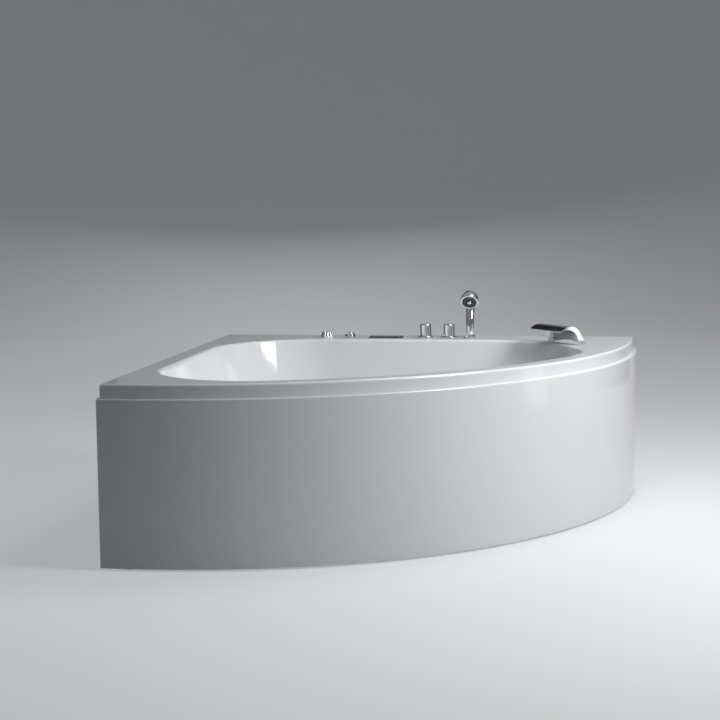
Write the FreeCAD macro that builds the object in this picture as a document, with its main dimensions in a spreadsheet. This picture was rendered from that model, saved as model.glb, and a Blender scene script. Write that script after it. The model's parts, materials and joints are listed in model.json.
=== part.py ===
# A quarter-round corner bath with jets, in millimetres, standing on the floor with +Z up.
# Two straight sides stand against two walls: the left wall at -X and the back wall at +Y.
# Places in plan are given by u, the distance from the left wall, and v, the distance from the back wall.
# The origin is on the floor, in the middle of the square that the bath takes up.
import FreeCAD, Part
import math
import os
import re
import Sketcher
from FreeCAD import Placement, Rotation, Vector

doc = FreeCAD.newDocument("CornerBath")
sheet = doc.addObject("Spreadsheet::Sheet", "Sizes")

SIZES = [
    # the bath as a whole
    ("side", 1520, "along each wall, over the apron"),
    ("height", 540, "floor to the deck of the rim"),
    ("arc_inset", 78, "distance of the front arc's centre from both walls"),
    ("overrun", 2, "how far a cut runs past the face it opens"),
    ("fit", 0.3, "clearance between a fitting and its hole"),
    ("running_fit", 0.05, "radial clearance of a turning shaft"),
    ("seat_gap", 0.3, "gap under a piece that rests but moves"),
    # acrylic shell
    ("shell_wall", 6, "thickness of the acrylic with its glass backing"),
    ("apron_step", 12, "how far the apron stands proud of the skirt"),
    ("rim_gap", 8, "rim to wall plane"),
    ("skirt_height", 42, "down-turned edge of the rim"),
    ("rim_left", 70, "width of the rim on the left"),
    ("rim_front", 65, "width of the rim on the front"),
    ("deck_back", 165, "width of the deck that carries the fittings"),
    ("floor_level", 126, "basin floor above the ground"),
    ("back_corner_r", 350, "basin corner by both walls"),
    ("front_corner_r", 300, "basin corner at the left end of the front"),
    ("spout_corner_r", 350, "basin corner under the spout"),
    ("corner_tuck", 60, "loss of corner radius from rim to floor"),
    ("lean_back", 90, "inward lean of the back wall, rim to floor"),
    ("lean_left", 90, "inward lean of the left wall"),
    ("lean_front", 105, "inward lean of the front wall"),
    ("floor_bend_r", 50, "bend between wall and floor"),
    ("rim_edge_r", 10, "rounding of the basin's edge"),
    ("deck_edge_r", 8, "rounding of the rim's outer edge"),
    # front apron
    ("apron_wall", 5, "thickness"),
    ("apron_foot", 6, "gap under the apron"),
    ("apron_ledge", 26, "width of the ledge under the skirt"),
    ("apron_hem", 18, "width of the turned-in bottom edge"),
    ("apron_edge_r", 4, "rounding of the ledge's outer edge"),
    # base board and frame
    ("board_thick", 15, "base board under the basin floor"),
    ("board_inset", 45, "board edge inside the floor's outline"),
    ("rail_size", 30, "square tube of the frame"),
    ("rail_wall", 2, "wall of that tube"),
    ("post_cap", 4, "bottom plate of a post"),
    ("cross_first", 430, "first cross rail from the back wall"),
    ("cross_gap", 102.5, "second cross rail from the waste"),
    # levelling feet
    ("pad_r", 24, "foot pad"),
    ("pad_neck_r", 11, "top of the pad"),
    ("pad_height", 14, "foot pad"),
    ("pad_rim", 4, "straight edge of the pad"),
    ("stud_r", 6, "foot stud"),
    ("stud_reach", 24, "stud inside the post"),
    ("foot_nut_r", 11, "lock nut over its corners"),
    ("foot_nut_thick", 8, "lock nut"),
    # apron brackets
    ("bracket_thick", 3, "bent steel strip"),
    ("bracket_flange", 30, "flange of a bracket"),
    ("bracket_height", 40, "along the post"),
    ("bracket_level", 300, "middle of the bracket above the floor"),
    ("screw_r", 2.5, "bracket screw"),
    ("screw_head_r", 5, "bracket screw head"),
    ("screw_head", 3, "height of that head"),
    ("screw_grip", 10, "length under the head"),
    # waste
    ("drain_inset", 200, "waste from the foot of the front wall"),
    ("drain_flange_r", 40, "flange in the basin"),
    ("drain_flange_thick", 3, "flange edge"),
    ("drain_tube_r", 24, "threaded tube of the flange"),
    ("drain_bore_r", 20, "bore of the flange"),
    ("drain_tube", 30, "length of the tube below the floor's top"),
    ("spider_drop", 20, "spider below the flange's top"),
    ("spider_thick", 5, "arms that guide the stopper"),
    ("spider_hub_r", 8, "hub of the spider"),
    ("stopper_r", 35, "stopper disc"),
    ("stopper_thick", 5, "edge of the stopper disc"),
    ("stopper_crown", 4, "rise of its top"),
    ("stem_r", 4, "stopper stem"),
    ("stem_length", 62, "stopper stem"),
    ("gasket_thick", 2, "waste gasket"),
    ("waste_flange_r", 42, "waste body under the floor"),
    ("waste_flange_thick", 6, "its flange"),
    ("waste_r", 32, "waste body"),
    ("waste_wall", 5, "its wall"),
    ("waste_end", 30, "bottom of the waste chamber above the ground"),
    ("tail_r", 20, "waste outlet pipe"),
    ("tail_bore_r", 17, "its bore"),
    ("tail_end", 8, "outlet end above the ground"),
    # overflow
    ("overflow_drop", 85, "overflow below the deck"),
    ("rosette_r", 34, "overflow rosette"),
    ("rosette_thick", 4, "rosette"),
    ("rosette_barrel_r", 22, "barrel through the wall"),
    ("rosette_bore_r", 18, "bore of the barrel"),
    ("rosette_barrel", 24, "barrel behind the inner face"),
    ("overflow_gasket", 1.5, "gasket under the rosette"),
    ("overflow_knob_r", 29, "overflow knob"),
    ("overflow_knob_thick", 12, "overflow knob"),
    ("overflow_gap", 5, "water way between rosette and knob"),
    ("knob_grip_r", 7, "finger hollows round the knob"),
    ("spindle_r", 4, "knob spindle"),
    ("spindle_hub_r", 8, "hub that carries the spindle"),
    ("elbow_r", 27, "overflow chamber behind the wall"),
    ("elbow_bore_r", 22.5, "its bore"),
    ("elbow_flange_r", 32, "flange on the wall"),
    ("elbow_flange", 5, "its thickness"),
    ("elbow_depth", 70, "chamber behind the wall"),
    ("elbow_back", 4, "chamber's back wall"),
    ("elbow_axis", 46, "down pipe behind the inner face"),
    ("socket_r", 19.5, "pipe socket"),
    ("socket_length", 44, "socket below the chamber's middle"),
    ("overflow_pipe_r", 16, "overflow pipe"),
    ("overflow_pipe_wall", 2, "its wall"),
    ("overflow_bend_r", 28, "bend of the overflow pipe"),
    ("overflow_run", 50, "height of its run under the frame"),
    ("waste_socket", 58, "side socket from the waste's middle"),
    ("cable_r", 3, "cable of the stopper"),
    ("cable_offset", 27, "cable beside the overflow pipe"),
    ("cable_boss_r", 6, "boss that holds the cable"),
    ("cable_bend_r", 56, "bend of the cable"),
    # jets, along their axes
    ("jet_level", 340, "jets above the floor"),
    ("jet_back_first", 72, "first back jet from the end of the corner"),
    ("jet_back_pitch", 120, "between back jets"),
    ("jet_left_first", 82, "first left jet from the end of the corner"),
    ("jet_left_inset", 118, "last left jet from the corner at the front"),
    ("jet_face_r", 36, "face ring"),
    ("jet_face_thick", 5, "face ring"),
    ("jet_face_edge", 2, "straight edge of the face ring"),
    ("jet_face_slope", 7, "width of its sloping front"),
    ("jet_gasket", 1.5, "gasket under the face"),
    ("jet_barrel_r", 24, "barrel through the wall"),
    ("jet_barrel", 26, "barrel behind the inner face"),
    ("jet_throat_r", 12, "water way into the nozzle"),
    ("jet_lip_r", 16.5, "lip that keeps the ball"),
    ("jet_lip", 2, "thickness of that lip"),
    ("ball_r", 17.6, "nozzle ball"),
    ("ball_sink", 4.5, "ball's middle under the gasket's top"),
    ("nozzle_r", 10, "nozzle spout"),
    ("nozzle_bore_r", 6, "bore of the nozzle"),
    ("nozzle_reach", 13.5, "spout from the ball's middle"),
    ("jet_flange_r", 34, "flange of the body on the wall"),
    ("jet_flange", 6, "its thickness"),
    ("jet_body_r", 30, "jet body"),
    ("jet_body", 56, "length of the body with its neck"),
    ("jet_neck", 12, "water neck at the back"),
    ("jet_neck_r", 13, "water neck"),
    ("jet_neck_bore_r", 10, "bore of the water neck"),
    ("jet_chamber_r", 21, "mixing chamber"),
    ("jet_air_depth", 30, "air port behind the inner face"),
    ("jet_air_r", 8, "air port"),
    ("jet_air_bore_r", 5, "bore of the air port"),
    ("jet_air_reach", 44, "end of the air port from the jet's axis"),
    # manifolds
    ("water_pipe_r", 16, "water manifold"),
    ("pipe_wall", 2.5, "wall of the manifolds"),
    ("water_setback", 24, "manifold's axis behind the necks"),
    ("water_bend_r", 36, "bends of the water manifold"),
    ("air_pipe_r", 10, "air manifold"),
    ("air_rise", 12, "manifold's axis beyond the air ports"),
    ("air_bend_r", 40, "bends of the air manifold"),
    ("manifold_end", 34, "manifold past the last jet"),
    # suction
    ("suction_inset", 64, "suction from the corner under the spout"),
    ("suction_level", 212, "suction above the floor"),
    ("suction_flange_r", 38, "wall fitting"),
    ("suction_flange", 4, "its flange"),
    ("suction_barrel_r", 28, "barrel through the wall"),
    ("suction_barrel", 24, "barrel behind the inner face"),
    ("suction_bore_r", 21, "bore"),
    ("guard_r", 40, "suction guard"),
    ("guard_height", 14, "guard over the fitting"),
    ("guard_wall", 3, "guard"),
    ("guard_slot", 4, "width of a guard slot"),
    ("guard_slots", 16, "number of guard slots"),
    ("suction_nut_r", 39, "lock nut behind the wall, over its corners"),
    ("suction_nut", 8, "its thickness"),
    ("suction_pipe_r", 24, "suction pipe"),
    ("suction_pipe_wall", 3, "its wall"),
    ("suction_bend_r", 40, "its bend"),
    ("suction_setback", 68, "its run behind the inner face"),
    ("pump_margin", 26, "pump stand to the right post"),
    # pump and motor, along the shaft
    ("inlet_r", 26, "pump inlet"),
    ("inlet_length", 30, "pump inlet"),
    ("case_r", 58, "pump case"),
    ("case_length", 54, "pump case"),
    ("case_wall", 6, "pump case"),
    ("outlet_r", 21, "pump outlet"),
    ("outlet_rise", 78, "outlet above the shaft"),
    ("impeller_r", 44, "impeller"),
    ("impeller_plate", 4, "its back plate"),
    ("impeller_gap", 3, "running gap on both sides"),
    ("impeller_hub_r", 13, "hub"),
    ("blade_r", 30, "curve of a blade"),
    ("blade_thick", 3, "blade"),
    ("blade_count", 6, "number of blades"),
    ("shaft_r", 8, "motor shaft"),
    ("motor_r", 60, "motor"),
    ("motor_length", 170, "motor"),
    ("adapter_r", 46, "neck between pump and motor"),
    ("adapter_length", 22, "neck"),
    ("bell_r", 50, "end bell"),
    ("bell_length", 22, "end bell"),
    ("fin_height", 7, "cooling fins"),
    ("fin_thick", 3, "cooling fins"),
    ("fin_count", 20, "number of cooling fins"),
    ("fin_margin", 14, "bare motor at both ends of the fins"),
    ("foot_width", 104, "motor feet"),
    ("foot_length", 26, "motor feet"),
    ("terminal_width", 64, "terminal box"),
    ("terminal_length", 80, "terminal box"),
    ("terminal_height", 14, "terminal box over the motor"),
    ("stand_thick", 4, "pump stand"),
    ("stand_margin", 26, "stand past the pump"),
    ("stand_depth", 205, "stand from the back rail"),
    # controls
    ("control_width", 140, "control box"),
    ("control_depth", 50, "control box"),
    ("control_height", 80, "control box"),
    ("control_drop", 84, "its top below the deck"),
    ("control_edge_r", 6, "rounding of its edges"),
    ("gland_r", 7, "cable gland"),
    ("gland_height", 9, "cable gland"),
    ("gland_first", 46, "first gland from the box's left end"),
    ("gland_pitch", 45, "between the glands on top"),
    ("lead_r", 3, "leads and air tube"),
    ("lead_bend_r", 16, "their bends"),
    ("tube_level", 58, "air tube below the deck"),
    ("tube_line", 26, "air tube from the back wall"),
    ("lead_level", 42, "panel lead below the deck"),
    ("lead_line", 38, "panel lead from the back wall"),
    ("panel_place", 623, "touch panel from the left wall"),
    ("panel_length", 124, "touch panel"),
    ("panel_width", 45, "touch panel"),
    ("panel_thick", 4, "touch panel"),
    ("panel_corner_r", 6, "its corners"),
    ("panel_plug_r", 10, "plug through the deck"),
    ("panel_plug", 14, "plug below the panel"),
    # air regulator and air switch
    ("regulator_place", 402, "from the left wall"),
    ("bush_flange_r", 21.5, "bush of the two low fittings"),
    ("bush_flange", 4, "its flange on the deck"),
    ("bush_r", 15, "bush through the deck"),
    ("bush_length", 34, "bush below the deck's top"),
    ("bush_wall", 3, "bottom of the bush"),
    ("nipple_r", 7, "air hose nipple"),
    ("nipple_length", 14, "nipple"),
    ("regulator_stem_r", 6, "stem of the regulator"),
    ("regulator_stem", 10, "stem over the flange"),
    ("regulator_low_r", 21, "regulator knob, bottom"),
    ("regulator_top_r", 17, "regulator knob, top"),
    ("regulator_height", 14, "regulator knob"),
    ("flute_r", 4, "flutes round the knob"),
    ("flute_depth", 1.6, "depth of a flute"),
    ("flute_count", 12, "number of flutes"),
    ("air_hose_r", 9, "air hose"),
    ("air_hose_bore_r", 7.05, "its bore"),
    ("air_hose_bend_r", 36, "its bend"),
    ("switch_place", 489, "from the left wall"),
    ("bezel_r", 20.5, "air switch bezel, bottom"),
    ("bezel_top_r", 17.5, "bezel, top"),
    ("bezel_height", 11, "bezel"),
    ("button_r", 14, "push button"),
    ("button_rise", 17, "button's top over the deck"),
    ("button_length", 24, "push button"),
    ("button_edge_r", 2, "its rounded edge"),
    ("switch_nipple_r", 3, "air tube nipple"),
    # mixer and diverter
    ("mixer_place", 767, "from the left wall"),
    ("diverter_place", 852, "from the left wall"),
    ("plate_r", 28, "escutcheon"),
    ("plate_thick", 6, "escutcheon"),
    ("plate_edge_r", 2, "its rounded edge"),
    ("knob_r", 20, "cylinder knob"),
    ("knob_height", 43, "cylinder knob"),
    ("knob_edge_r", 3, "its rounded edge"),
    ("knob_socket", 26, "depth of the hole for the valve stem"),
    ("valve_stem_r", 6, "valve stem"),
    ("valve_neck_r", 14, "threaded neck through the deck"),
    ("valve_r", 18, "valve body under the deck"),
    ("valve_neck", 30, "neck below the deck's top"),
    ("valve_length", 128, "valve below the deck's top"),
    ("inlet_drop", 110, "hot and cold inlets below the deck"),
    ("inlet_spread", 40, "between hot and cold inlet"),
    ("inlet_tail_r", 10.5, "half-inch tail"),
    ("inlet_tail", 54, "tail behind the valve's middle"),
    ("tail_collar_r", 13.5, "shoulder behind the tail's thread"),
    ("tail_thread", 22, "threaded length of the tail"),
    ("bridge_drop", 60, "mixed water pipe below the deck"),
    ("branch_r", 9, "water pipes under the deck"),
    ("branch_wall", 1.5, "their wall"),
    ("branch_bend_r", 24, "their bends"),
    ("hose_arm_drop", 92, "hose outlet below the deck"),
    ("hose_arm_end", 118, "hose end below the deck"),
    ("spout_outlet", 38, "spout outlet from the valve's middle"),
    # spout
    ("spout_angle", 42.7, "place on the corner, degrees from the back wall"),
    ("spout_setback", 29, "foot behind the basin's edge"),
    ("spout_width", 165, "spout"),
    ("spout_height", 65, "spout"),
    ("spout_apex", 34, "highest line from the front of the foot"),
    ("spout_reach", 81, "lip from the front of the foot"),
    ("spout_lip_level", 49, "lip above the deck"),
    ("spout_lip", 3, "thickness of the lip"),
    ("spout_top_r", 45, "curve over the top"),
    ("spout_back_angle", 55, "slope of the back, degrees"),
    ("spout_under", 53, "highest line of the underside"),
    ("spout_under_apex", 48, "where that lies"),
    ("spout_wall", 3, "wall of the hollow casting"),
    ("slot_depth", 40, "water slot, from the lip to the room inside"),
    ("slot_height", 1.2, "water slot"),
    ("slot_margin", 8, "slot's end from the spout's end"),
    ("shank_r", 12, "threaded shank"),
    ("shank_bore_r", 8, "its bore"),
    ("shank_length", 66, "shank below the deck's top"),
    ("spout_pipe_drop", 36, "spout pipe below the shank"),
    # lock nuts under the deck
    ("nut_margin", 9, "lock nut beyond its thread"),
    ("nut_thick", 8, "lock nut"),
    # hand shower
    ("handset_place", 928, "from the left wall"),
    ("holder_r", 19, "deck holder"),
    ("holder_top_r", 16.5, "top of the holder"),
    ("holder_height", 9, "holder over the deck"),
    ("holder_barrel_r", 15, "holder through the deck"),
    ("holder_barrel", 46, "holder below the deck's top"),
    ("holder_neck_r", 8, "hose guide at its bottom"),
    ("cone_top_r", 12.8, "hose cone, top"),
    ("cone_low_r", 9.2, "hose cone, bottom"),
    ("cone_length", 44, "hose cone"),
    ("cone_drop", 32, "its bottom below the deck's top"),
    ("pivot_r", 5, "swivel pin on the cone"),
    ("pivot_length", 12, "swivel pin"),
    ("grip_low_r", 13, "handle, bottom"),
    ("grip_top_r", 15.5, "handle, top"),
    ("grip_length", 116, "handle"),
    ("head_r", 33, "shower head"),
    ("head_depth", 46, "dome behind the face"),
    ("head_rim", 5, "straight edge of the head"),
    ("head_rise", 120, "middle of the face over the handle's foot"),
    ("head_forward", 16, "middle of the face before the handle"),
    ("head_tilt", 40, "face below the horizontal, degrees"),
    ("face_r", 26, "spray face"),
    ("face_thick", 3, "spray face"),
    ("face_recess", 2, "recess in the head"),
    ("face_cap_r", 6.5, "middle of the spray face"),
    ("face_cap", 1.5, "its rise"),
    ("hose_r", 7, "shower hose"),
    ("hose_bore_r", 4.5, "its bore"),
    ("hose_low", 210, "hose turns back above the floor"),
    ("hose_turn_r", 60, "radius of that turn"),
]

for row, (name, value, note) in enumerate(SIZES, 1):
    sheet.set("A%d" % row, name)
    sheet.set("B%d" % row, str(value))
    sheet.set("C%d" % row, note)
    sheet.setAlias("B%d" % row, name)
doc.recompute()


class Named:
    """Reads a named size from the sheet."""

    def __getattr__(self, name):
        return float(sheet.get(name))


mm = Named()
nodes = {}
holes = []
UP = Vector(0, 0, 1)
Z_TO_Y = Rotation(Vector(1, 0, 0), -90)

# Levels and radii that several pieces share
CORE = mm.arc_inset
APRON_R = mm.side - mm.arc_inset
RIM_R = APRON_R - mm.apron_step
BASIN_R = RIM_R - mm.rim_front
POST_R = RIM_R - mm.rim_front / 2
POST_FACE = CORE + POST_R - mm.rail_size / 2
LEFT = mm.rim_gap + mm.rim_left
BACK = mm.rim_gap + mm.deck_back
DECK = mm.height
DECK_UNDER = DECK - mm.shell_wall
FLOOR = mm.floor_level
DEPTH = DECK - FLOOR
FLOOR_UNDER = FLOOR - mm.shell_wall
RAIL_TOP = FLOOR_UNDER - mm.board_thick
RAIL_LOW = RAIL_TOP - mm.rail_size
DECK_LINE = mm.rim_gap + mm.deck_back / 2
TINY = mm.running_fit


# Places

def plan(u, v, z=0.0):
    """A point from its distances to the left wall, the back wall and the floor."""
    return Vector(u - mm.side / 2, mm.side / 2 - v, z)


def around(radius, degrees, z=0.0):
    """A point at a radius from the front arc's centre, turned from the right end to the left end."""
    angle = math.radians(degrees)
    return plan(CORE + radius * math.cos(angle), CORE + radius * math.sin(angle), z)


def stand(point, axis=UP, hint=None):
    """A placement with local Z along the axis and local Y as near the hint as it can be."""
    z = Vector(axis).normalize()
    if hint is None:
        hint = UP if abs(z.z) < math.sqrt(0.5) else Vector(0, 1, 0)
    x = Vector(hint).cross(z).normalize()
    return Placement(point, Rotation(x, z.cross(x), z, "ZYX"))


def shift(place, x=0.0, y=0.0, z=0.0):
    """The placement moved along its own axes."""
    return place.multiply(Placement(Vector(x, y, z), Rotation()))


def level(z, x=0.0, y=0.0, turn=Rotation()):
    """A placement in a piece's own frame."""
    return Placement(Vector(x, y, z), turn)


def on_deck(u, v=None):
    """A placement on the deck, on the line of the fittings unless v is given."""
    return stand(plan(u, DECK_LINE if v is None else v, DECK))


def lean_place(point, inward, lean):
    """A placement on a leaning inner wall: Z into the basin, Y up the wall, X along it."""
    slope = math.atan2(lean, DEPTH)
    return stand(point, Vector(inward).multiply(math.cos(slope)) + UP * math.sin(slope), UP)


def depth_share(z):
    return (DECK - z) / DEPTH


def on_back_wall(u, z):
    point = plan(u, BACK + mm.lean_back * depth_share(z), z)
    return lean_place(point, Vector(0, -1, 0), mm.lean_back)


def on_left_wall(v, z):
    point = plan(LEFT + mm.lean_left * depth_share(z), v, z)
    return lean_place(point, Vector(1, 0, 0), mm.lean_left)


def on_front_wall(degrees, z):
    point = around(BASIN_R - mm.lean_front * depth_share(z), degrees, z)
    inward = around(0, degrees) - around(1, degrees)
    return lean_place(point, inward, mm.lean_front)


# Ways of making a piece

def bound(text):
    """An expression with each size name led to its cell."""
    return re.sub(r"\b([a-z][a-z0-9_]*)\b(?!\()", r"Sizes.\1", text)


def outline(body, role, points):
    """A closed sketch of straight lines whose corners are bound to expressions."""
    sketch = body.newObject("Sketcher::SketchObject", body.Name + "_outline")
    plane = [item for item in body.Origin.OriginFeatures if item.Role == role][0]
    sketch.AttachmentSupport = (plane, [""])
    sketch.MapMode = "FlatFace"
    count = len(points)
    start = [Vector(math.cos(k * math.tau / count), math.sin(k * math.tau / count),
                    0) for k in range(count)]
    for k in range(count):
        sketch.addGeometry(Part.LineSegment(start[k], start[(k + 1) % count]), False)
    for k in range(count):
        sketch.addConstraint(Sketcher.Constraint("Coincident", k, 2, (k + 1) % count, 1))
    for k, corner in enumerate(points):
        for kind, axis, text in (("DistanceX", -2, corner[0]), ("DistanceY", -1, corner[1])):
            if text == "0":
                sketch.addConstraint(Sketcher.Constraint("PointOnObject", k, 1, axis))
            else:
                index = sketch.addConstraint(Sketcher.Constraint(kind, -1, 1, k, 1, 1.0))
                sketch.setExpression("Constraints[%d]" % index, bound(text))
    return sketch


def turned(name, profile):
    """A body turned about local Z from a profile of radius and height."""
    body = doc.addObject("PartDesign::Body", name)
    sketch = outline(body, "XZ_Plane", profile)
    spin = body.newObject("PartDesign::Revolution", name + "_turn")
    spin.Profile = sketch
    spin.ReferenceAxis = (sketch, ["V_Axis"])
    spin.Angle = 360
    return body


def padded(name, points, length):
    """A body of constant section: an outline in local XY, pulled along local Z."""
    body = doc.addObject("PartDesign::Body", name)
    pad = body.newObject("PartDesign::Pad", name + "_pad")
    pad.Profile = outline(body, "XY_Plane", points)
    pad.setExpression("Length", bound(length))
    return body


def rounded(body, radius, pick):
    """Rounds the edges of a body that pick chooses."""
    doc.recompute()
    tip = body.Tip
    names = ["Edge%d" % k for k, edge in enumerate(tip.Shape.Edges, 1) if pick(edge)]
    fillet = body.newObject("PartDesign::Fillet", body.Name + "_round")
    fillet.Base = (tip, names)
    fillet.setExpression("Radius", bound(radius))
    return body


def cylinder(name, radius, height, place=Placement()):
    item = doc.addObject("Part::Cylinder", name)
    item.setExpression("Radius", bound(radius))
    item.setExpression("Height", bound(height))
    item.Placement = place
    return item


def box(name, sizes, place=Placement()):
    """A block whose sides are expressions, or lengths worked out from other pieces."""
    item = doc.addObject("Part::Box", name)
    for side, size in zip(("Length", "Width", "Height"), sizes):
        if isinstance(size, str):
            item.setExpression(side, bound(size))
        else:
            setattr(item, side, size)
    item.Placement = place
    return item


def joined(name, *items):
    item = doc.addObject("Part::MultiFuse", name)
    item.Shapes = list(items)
    item.Refine = False
    return item


def loose(name, items):
    item = doc.addObject("Part::Compound", name)
    item.Links = list(items)
    return item


def cut(name, base, *tools):
    item = doc.addObject("Part::Cut", name)
    item.Base = base
    item.Tool = tools[0] if len(tools) == 1 else joined(name + "_room", *tools)
    return item


def keep(name, item, place=None):
    """Makes an object one of the bath's pieces, at its place."""
    item.Label = name
    if place is not None:
        item.Placement = place
    nodes[name] = item
    return item


def piece(name, shape):
    """A piece whose shape is worked out below."""
    item = doc.addObject("Part::Feature", name)
    item.Shape = shape
    return keep(name, item)


def group(name, source, places):
    """Several alike pieces as one node of separate solids."""
    doc.recompute()
    return piece(name, Part.makeCompound([at(source.Shape, place) for place in places]))


def at(shape, place):
    """A copy of a shape, moved from the origin to a placement."""
    moved = shape.copy()
    moved.Placement = place.multiply(shape.Placement)
    return moved


def rod(radius, place, low, high):
    """A round bar along a placement's own axis."""
    return at(Part.makeCylinder(radius, high - low, Vector(0, 0, low)), place)


def hole(place, radius):
    """A hole through the shell, along the axis of what passes through it."""
    holes.append(rod(radius, place, -mm.rim_left / 2, mm.overrun))


def straight(a, b):
    return Part.LineSegment(a, b).toShape()


def bow(centre, a, b):
    """The short arc about a centre."""
    radius = (a - centre).Length
    middle = centre + ((a - centre) + (b - centre)).normalize() * radius
    return Part.Arc(a, middle, b).toShape()


def route(points, bend):
    """Straight runs joined by tangent arcs."""
    edges = []
    start = points[0]
    for before, corner, after in zip(points, points[1:], points[2:]):
        back = (before - corner).normalize()
        ahead = (after - corner).normalize()
        half = back.getAngle(ahead) / 2
        if math.pi / 2 - half < TINY / bend:
            continue
        run = bend / math.tan(half)
        centre = corner + (back + ahead).normalize() * (bend / math.sin(half))
        if (corner + back * run - start).Length > TINY:
            edges.append(straight(start, corner + back * run))
        edges.append(bow(centre, corner + back * run, corner + ahead * run))
        start = corner + ahead * run
    edges.append(straight(start, points[-1]))
    return Part.Wire(edges)


def bar(points, bend, radius):
    """A round bar along a route."""
    path = route(points, bend)
    ring = Part.Wire([Part.makeCircle(radius, points[0], points[1] - points[0])])
    return path.makePipeShell([ring], True, False)


def tube(points, bend, radius, bore):
    return bar(points, bend, radius).cut(bar(points, bend, bore))


# Outlines of the bath in plan

def quarter_edges(radius, gap, z):
    """The front line of the bath: a short straight end, the arc, and the other straight end."""
    first = plan(CORE + radius, gap, z)
    last = plan(gap, CORE + radius, z)
    begin = around(radius, 0, z)
    end = around(radius, 90, z)
    return [straight(first, begin), bow(around(0, 0, z), begin, end), straight(end, last)]


def quarter_wire(radius, gap, z):
    """The whole rim in plan: the front line and the two wall sides."""
    front = quarter_edges(radius, gap, z)
    corner = plan(gap, gap, z)
    first = plan(CORE + radius, gap, z)
    last = plan(gap, CORE + radius, z)
    return Part.Wire([straight(corner, first)] + front + [straight(last, corner)])


def band(outer, inner, low, high):
    """A strip along the front line between two radii, from one level to another."""
    outside = quarter_edges(outer, 0, low)
    inside = quarter_edges(inner, 0, low)
    ends = [straight(plan(CORE + inner, 0, low), plan(CORE + outer, 0, low)),
            straight(plan(0, CORE + outer, low), plan(0, CORE + inner, low))]
    wire = Part.Wire(Part.__sortEdges__(outside + inside + ends))
    return Part.Face(wire).extrude(UP * (high - low))


def basin_wire(z, grow=0.0):
    """The basin in plan at a level, from the left wall round the front arc to the back wall."""
    share = depth_share(z)
    left = LEFT + mm.lean_left * share - grow
    back = BACK + mm.lean_back * share - grow
    radius = BASIN_R - mm.lean_front * share + grow
    loss = mm.corner_tuck * share - grow
    back_r, front_r, spout_r = (r - loss for r in (mm.back_corner_r, mm.front_corner_r, mm.spout_corner_r))
    front_u = left + front_r
    front_v = CORE + math.sqrt((radius - front_r) ** 2 - (front_u - CORE) ** 2)
    spout_v = back + spout_r
    spout_u = CORE + math.sqrt((radius - spout_r) ** 2 - (spout_v - CORE) ** 2)
    core = plan(CORE, CORE, z)
    front = plan(front_u, front_v, z)
    spout = plan(spout_u, spout_v, z)
    corner = plan(left + back_r, back + back_r, z)
    front_end = core + (front - core).normalize() * radius
    spout_end = core + (spout - core).normalize() * radius
    return Part.Wire([
        straight(plan(left, back + back_r, z), plan(left, front_v, z)),
        bow(front, plan(left, front_v, z), front_end),
        bow(core, front_end, spout_end),
        bow(spout, spout_end, plan(spout_u, back, z)),
        straight(plan(spout_u, back, z), plan(left + back_r, back, z)),
        bow(corner, plan(left + back_r, back, z), plan(left, back + back_r, z)),
    ])


def spout_corner(z):
    """Middle of the basin's corner under the spout."""
    v = BACK + mm.spout_corner_r
    u = CORE + math.sqrt((BASIN_R - mm.spout_corner_r) ** 2 - (v - CORE) ** 2)
    return plan(u, v, z)


def low_corner():
    """Middle of the same corner at the floor, as a distance from the left wall."""
    radius = mm.spout_corner_r - mm.corner_tuck
    v = BACK + mm.lean_back + radius
    return CORE + math.sqrt((BASIN_R - mm.lean_front - radius) ** 2 - (v - CORE) ** 2)


def low_end():
    """Where the left wall's straight run ends at the floor, as a distance from the back wall."""
    radius = mm.front_corner_r - mm.corner_tuck
    u = LEFT + mm.lean_left + radius
    return CORE + math.sqrt((BASIN_R - mm.lean_front - radius) ** 2 - (u - CORE) ** 2)


# Jets

JET_LINE = BACK + mm.back_corner_r
BACK_JETS = [on_back_wall(LEFT + mm.back_corner_r + mm.jet_back_first + k * mm.jet_back_pitch, mm.jet_level)
             for k in range(3)]
LEFT_FIRST = JET_LINE + mm.jet_left_first
LEFT_PITCH = (low_end() - mm.jet_left_inset - LEFT_FIRST) / 2
LEFT_JETS = [on_left_wall(LEFT_FIRST + k * LEFT_PITCH, mm.jet_level) for k in range(3)]
JETS = BACK_JETS + LEFT_JETS


def jet_face():
    top = "jet_barrel + jet_gasket"
    shoulder = top + " - ball_sink - sqrt((ball_r + fit)^2 - jet_throat_r^2)"
    return turned("jet_face_source", [
        ("jet_throat_r", "0"), ("jet_barrel_r", "0"), ("jet_barrel_r", top), ("jet_face_r", top),
        ("jet_face_r", top + " + jet_face_edge"),
        ("jet_face_r - jet_face_slope", top + " + jet_face_thick"),
        ("jet_lip_r", top + " + jet_face_thick"), ("jet_lip_r", top + " + jet_face_thick - jet_lip"),
        ("ball_r + fit", top + " + jet_face_thick - jet_lip"), ("ball_r + fit", shoulder),
        ("jet_throat_r", shoulder)])


def jet_nozzle(number, place):
    ball = doc.addObject("Part::Sphere", "ball_%d" % number)
    ball.setExpression("Radius", bound("ball_r"))
    spout = cylinder("nozzle_tube_%d" % number, "nozzle_r", "nozzle_reach")
    bore = cylinder("nozzle_bore_%d" % number, "nozzle_bore_r", "nozzle_reach + ball_r + 2 * overrun")
    bore.setExpression("Placement.Base.z", bound("0 - ball_r - overrun"))
    body = cut("nozzle_%d" % number, joined("nozzle_solid_%d" % number, ball, spout), bore)
    keep("jet_nozzle_%d" % number, body, shift(place, z=mm.jet_gasket - mm.ball_sink))


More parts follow.
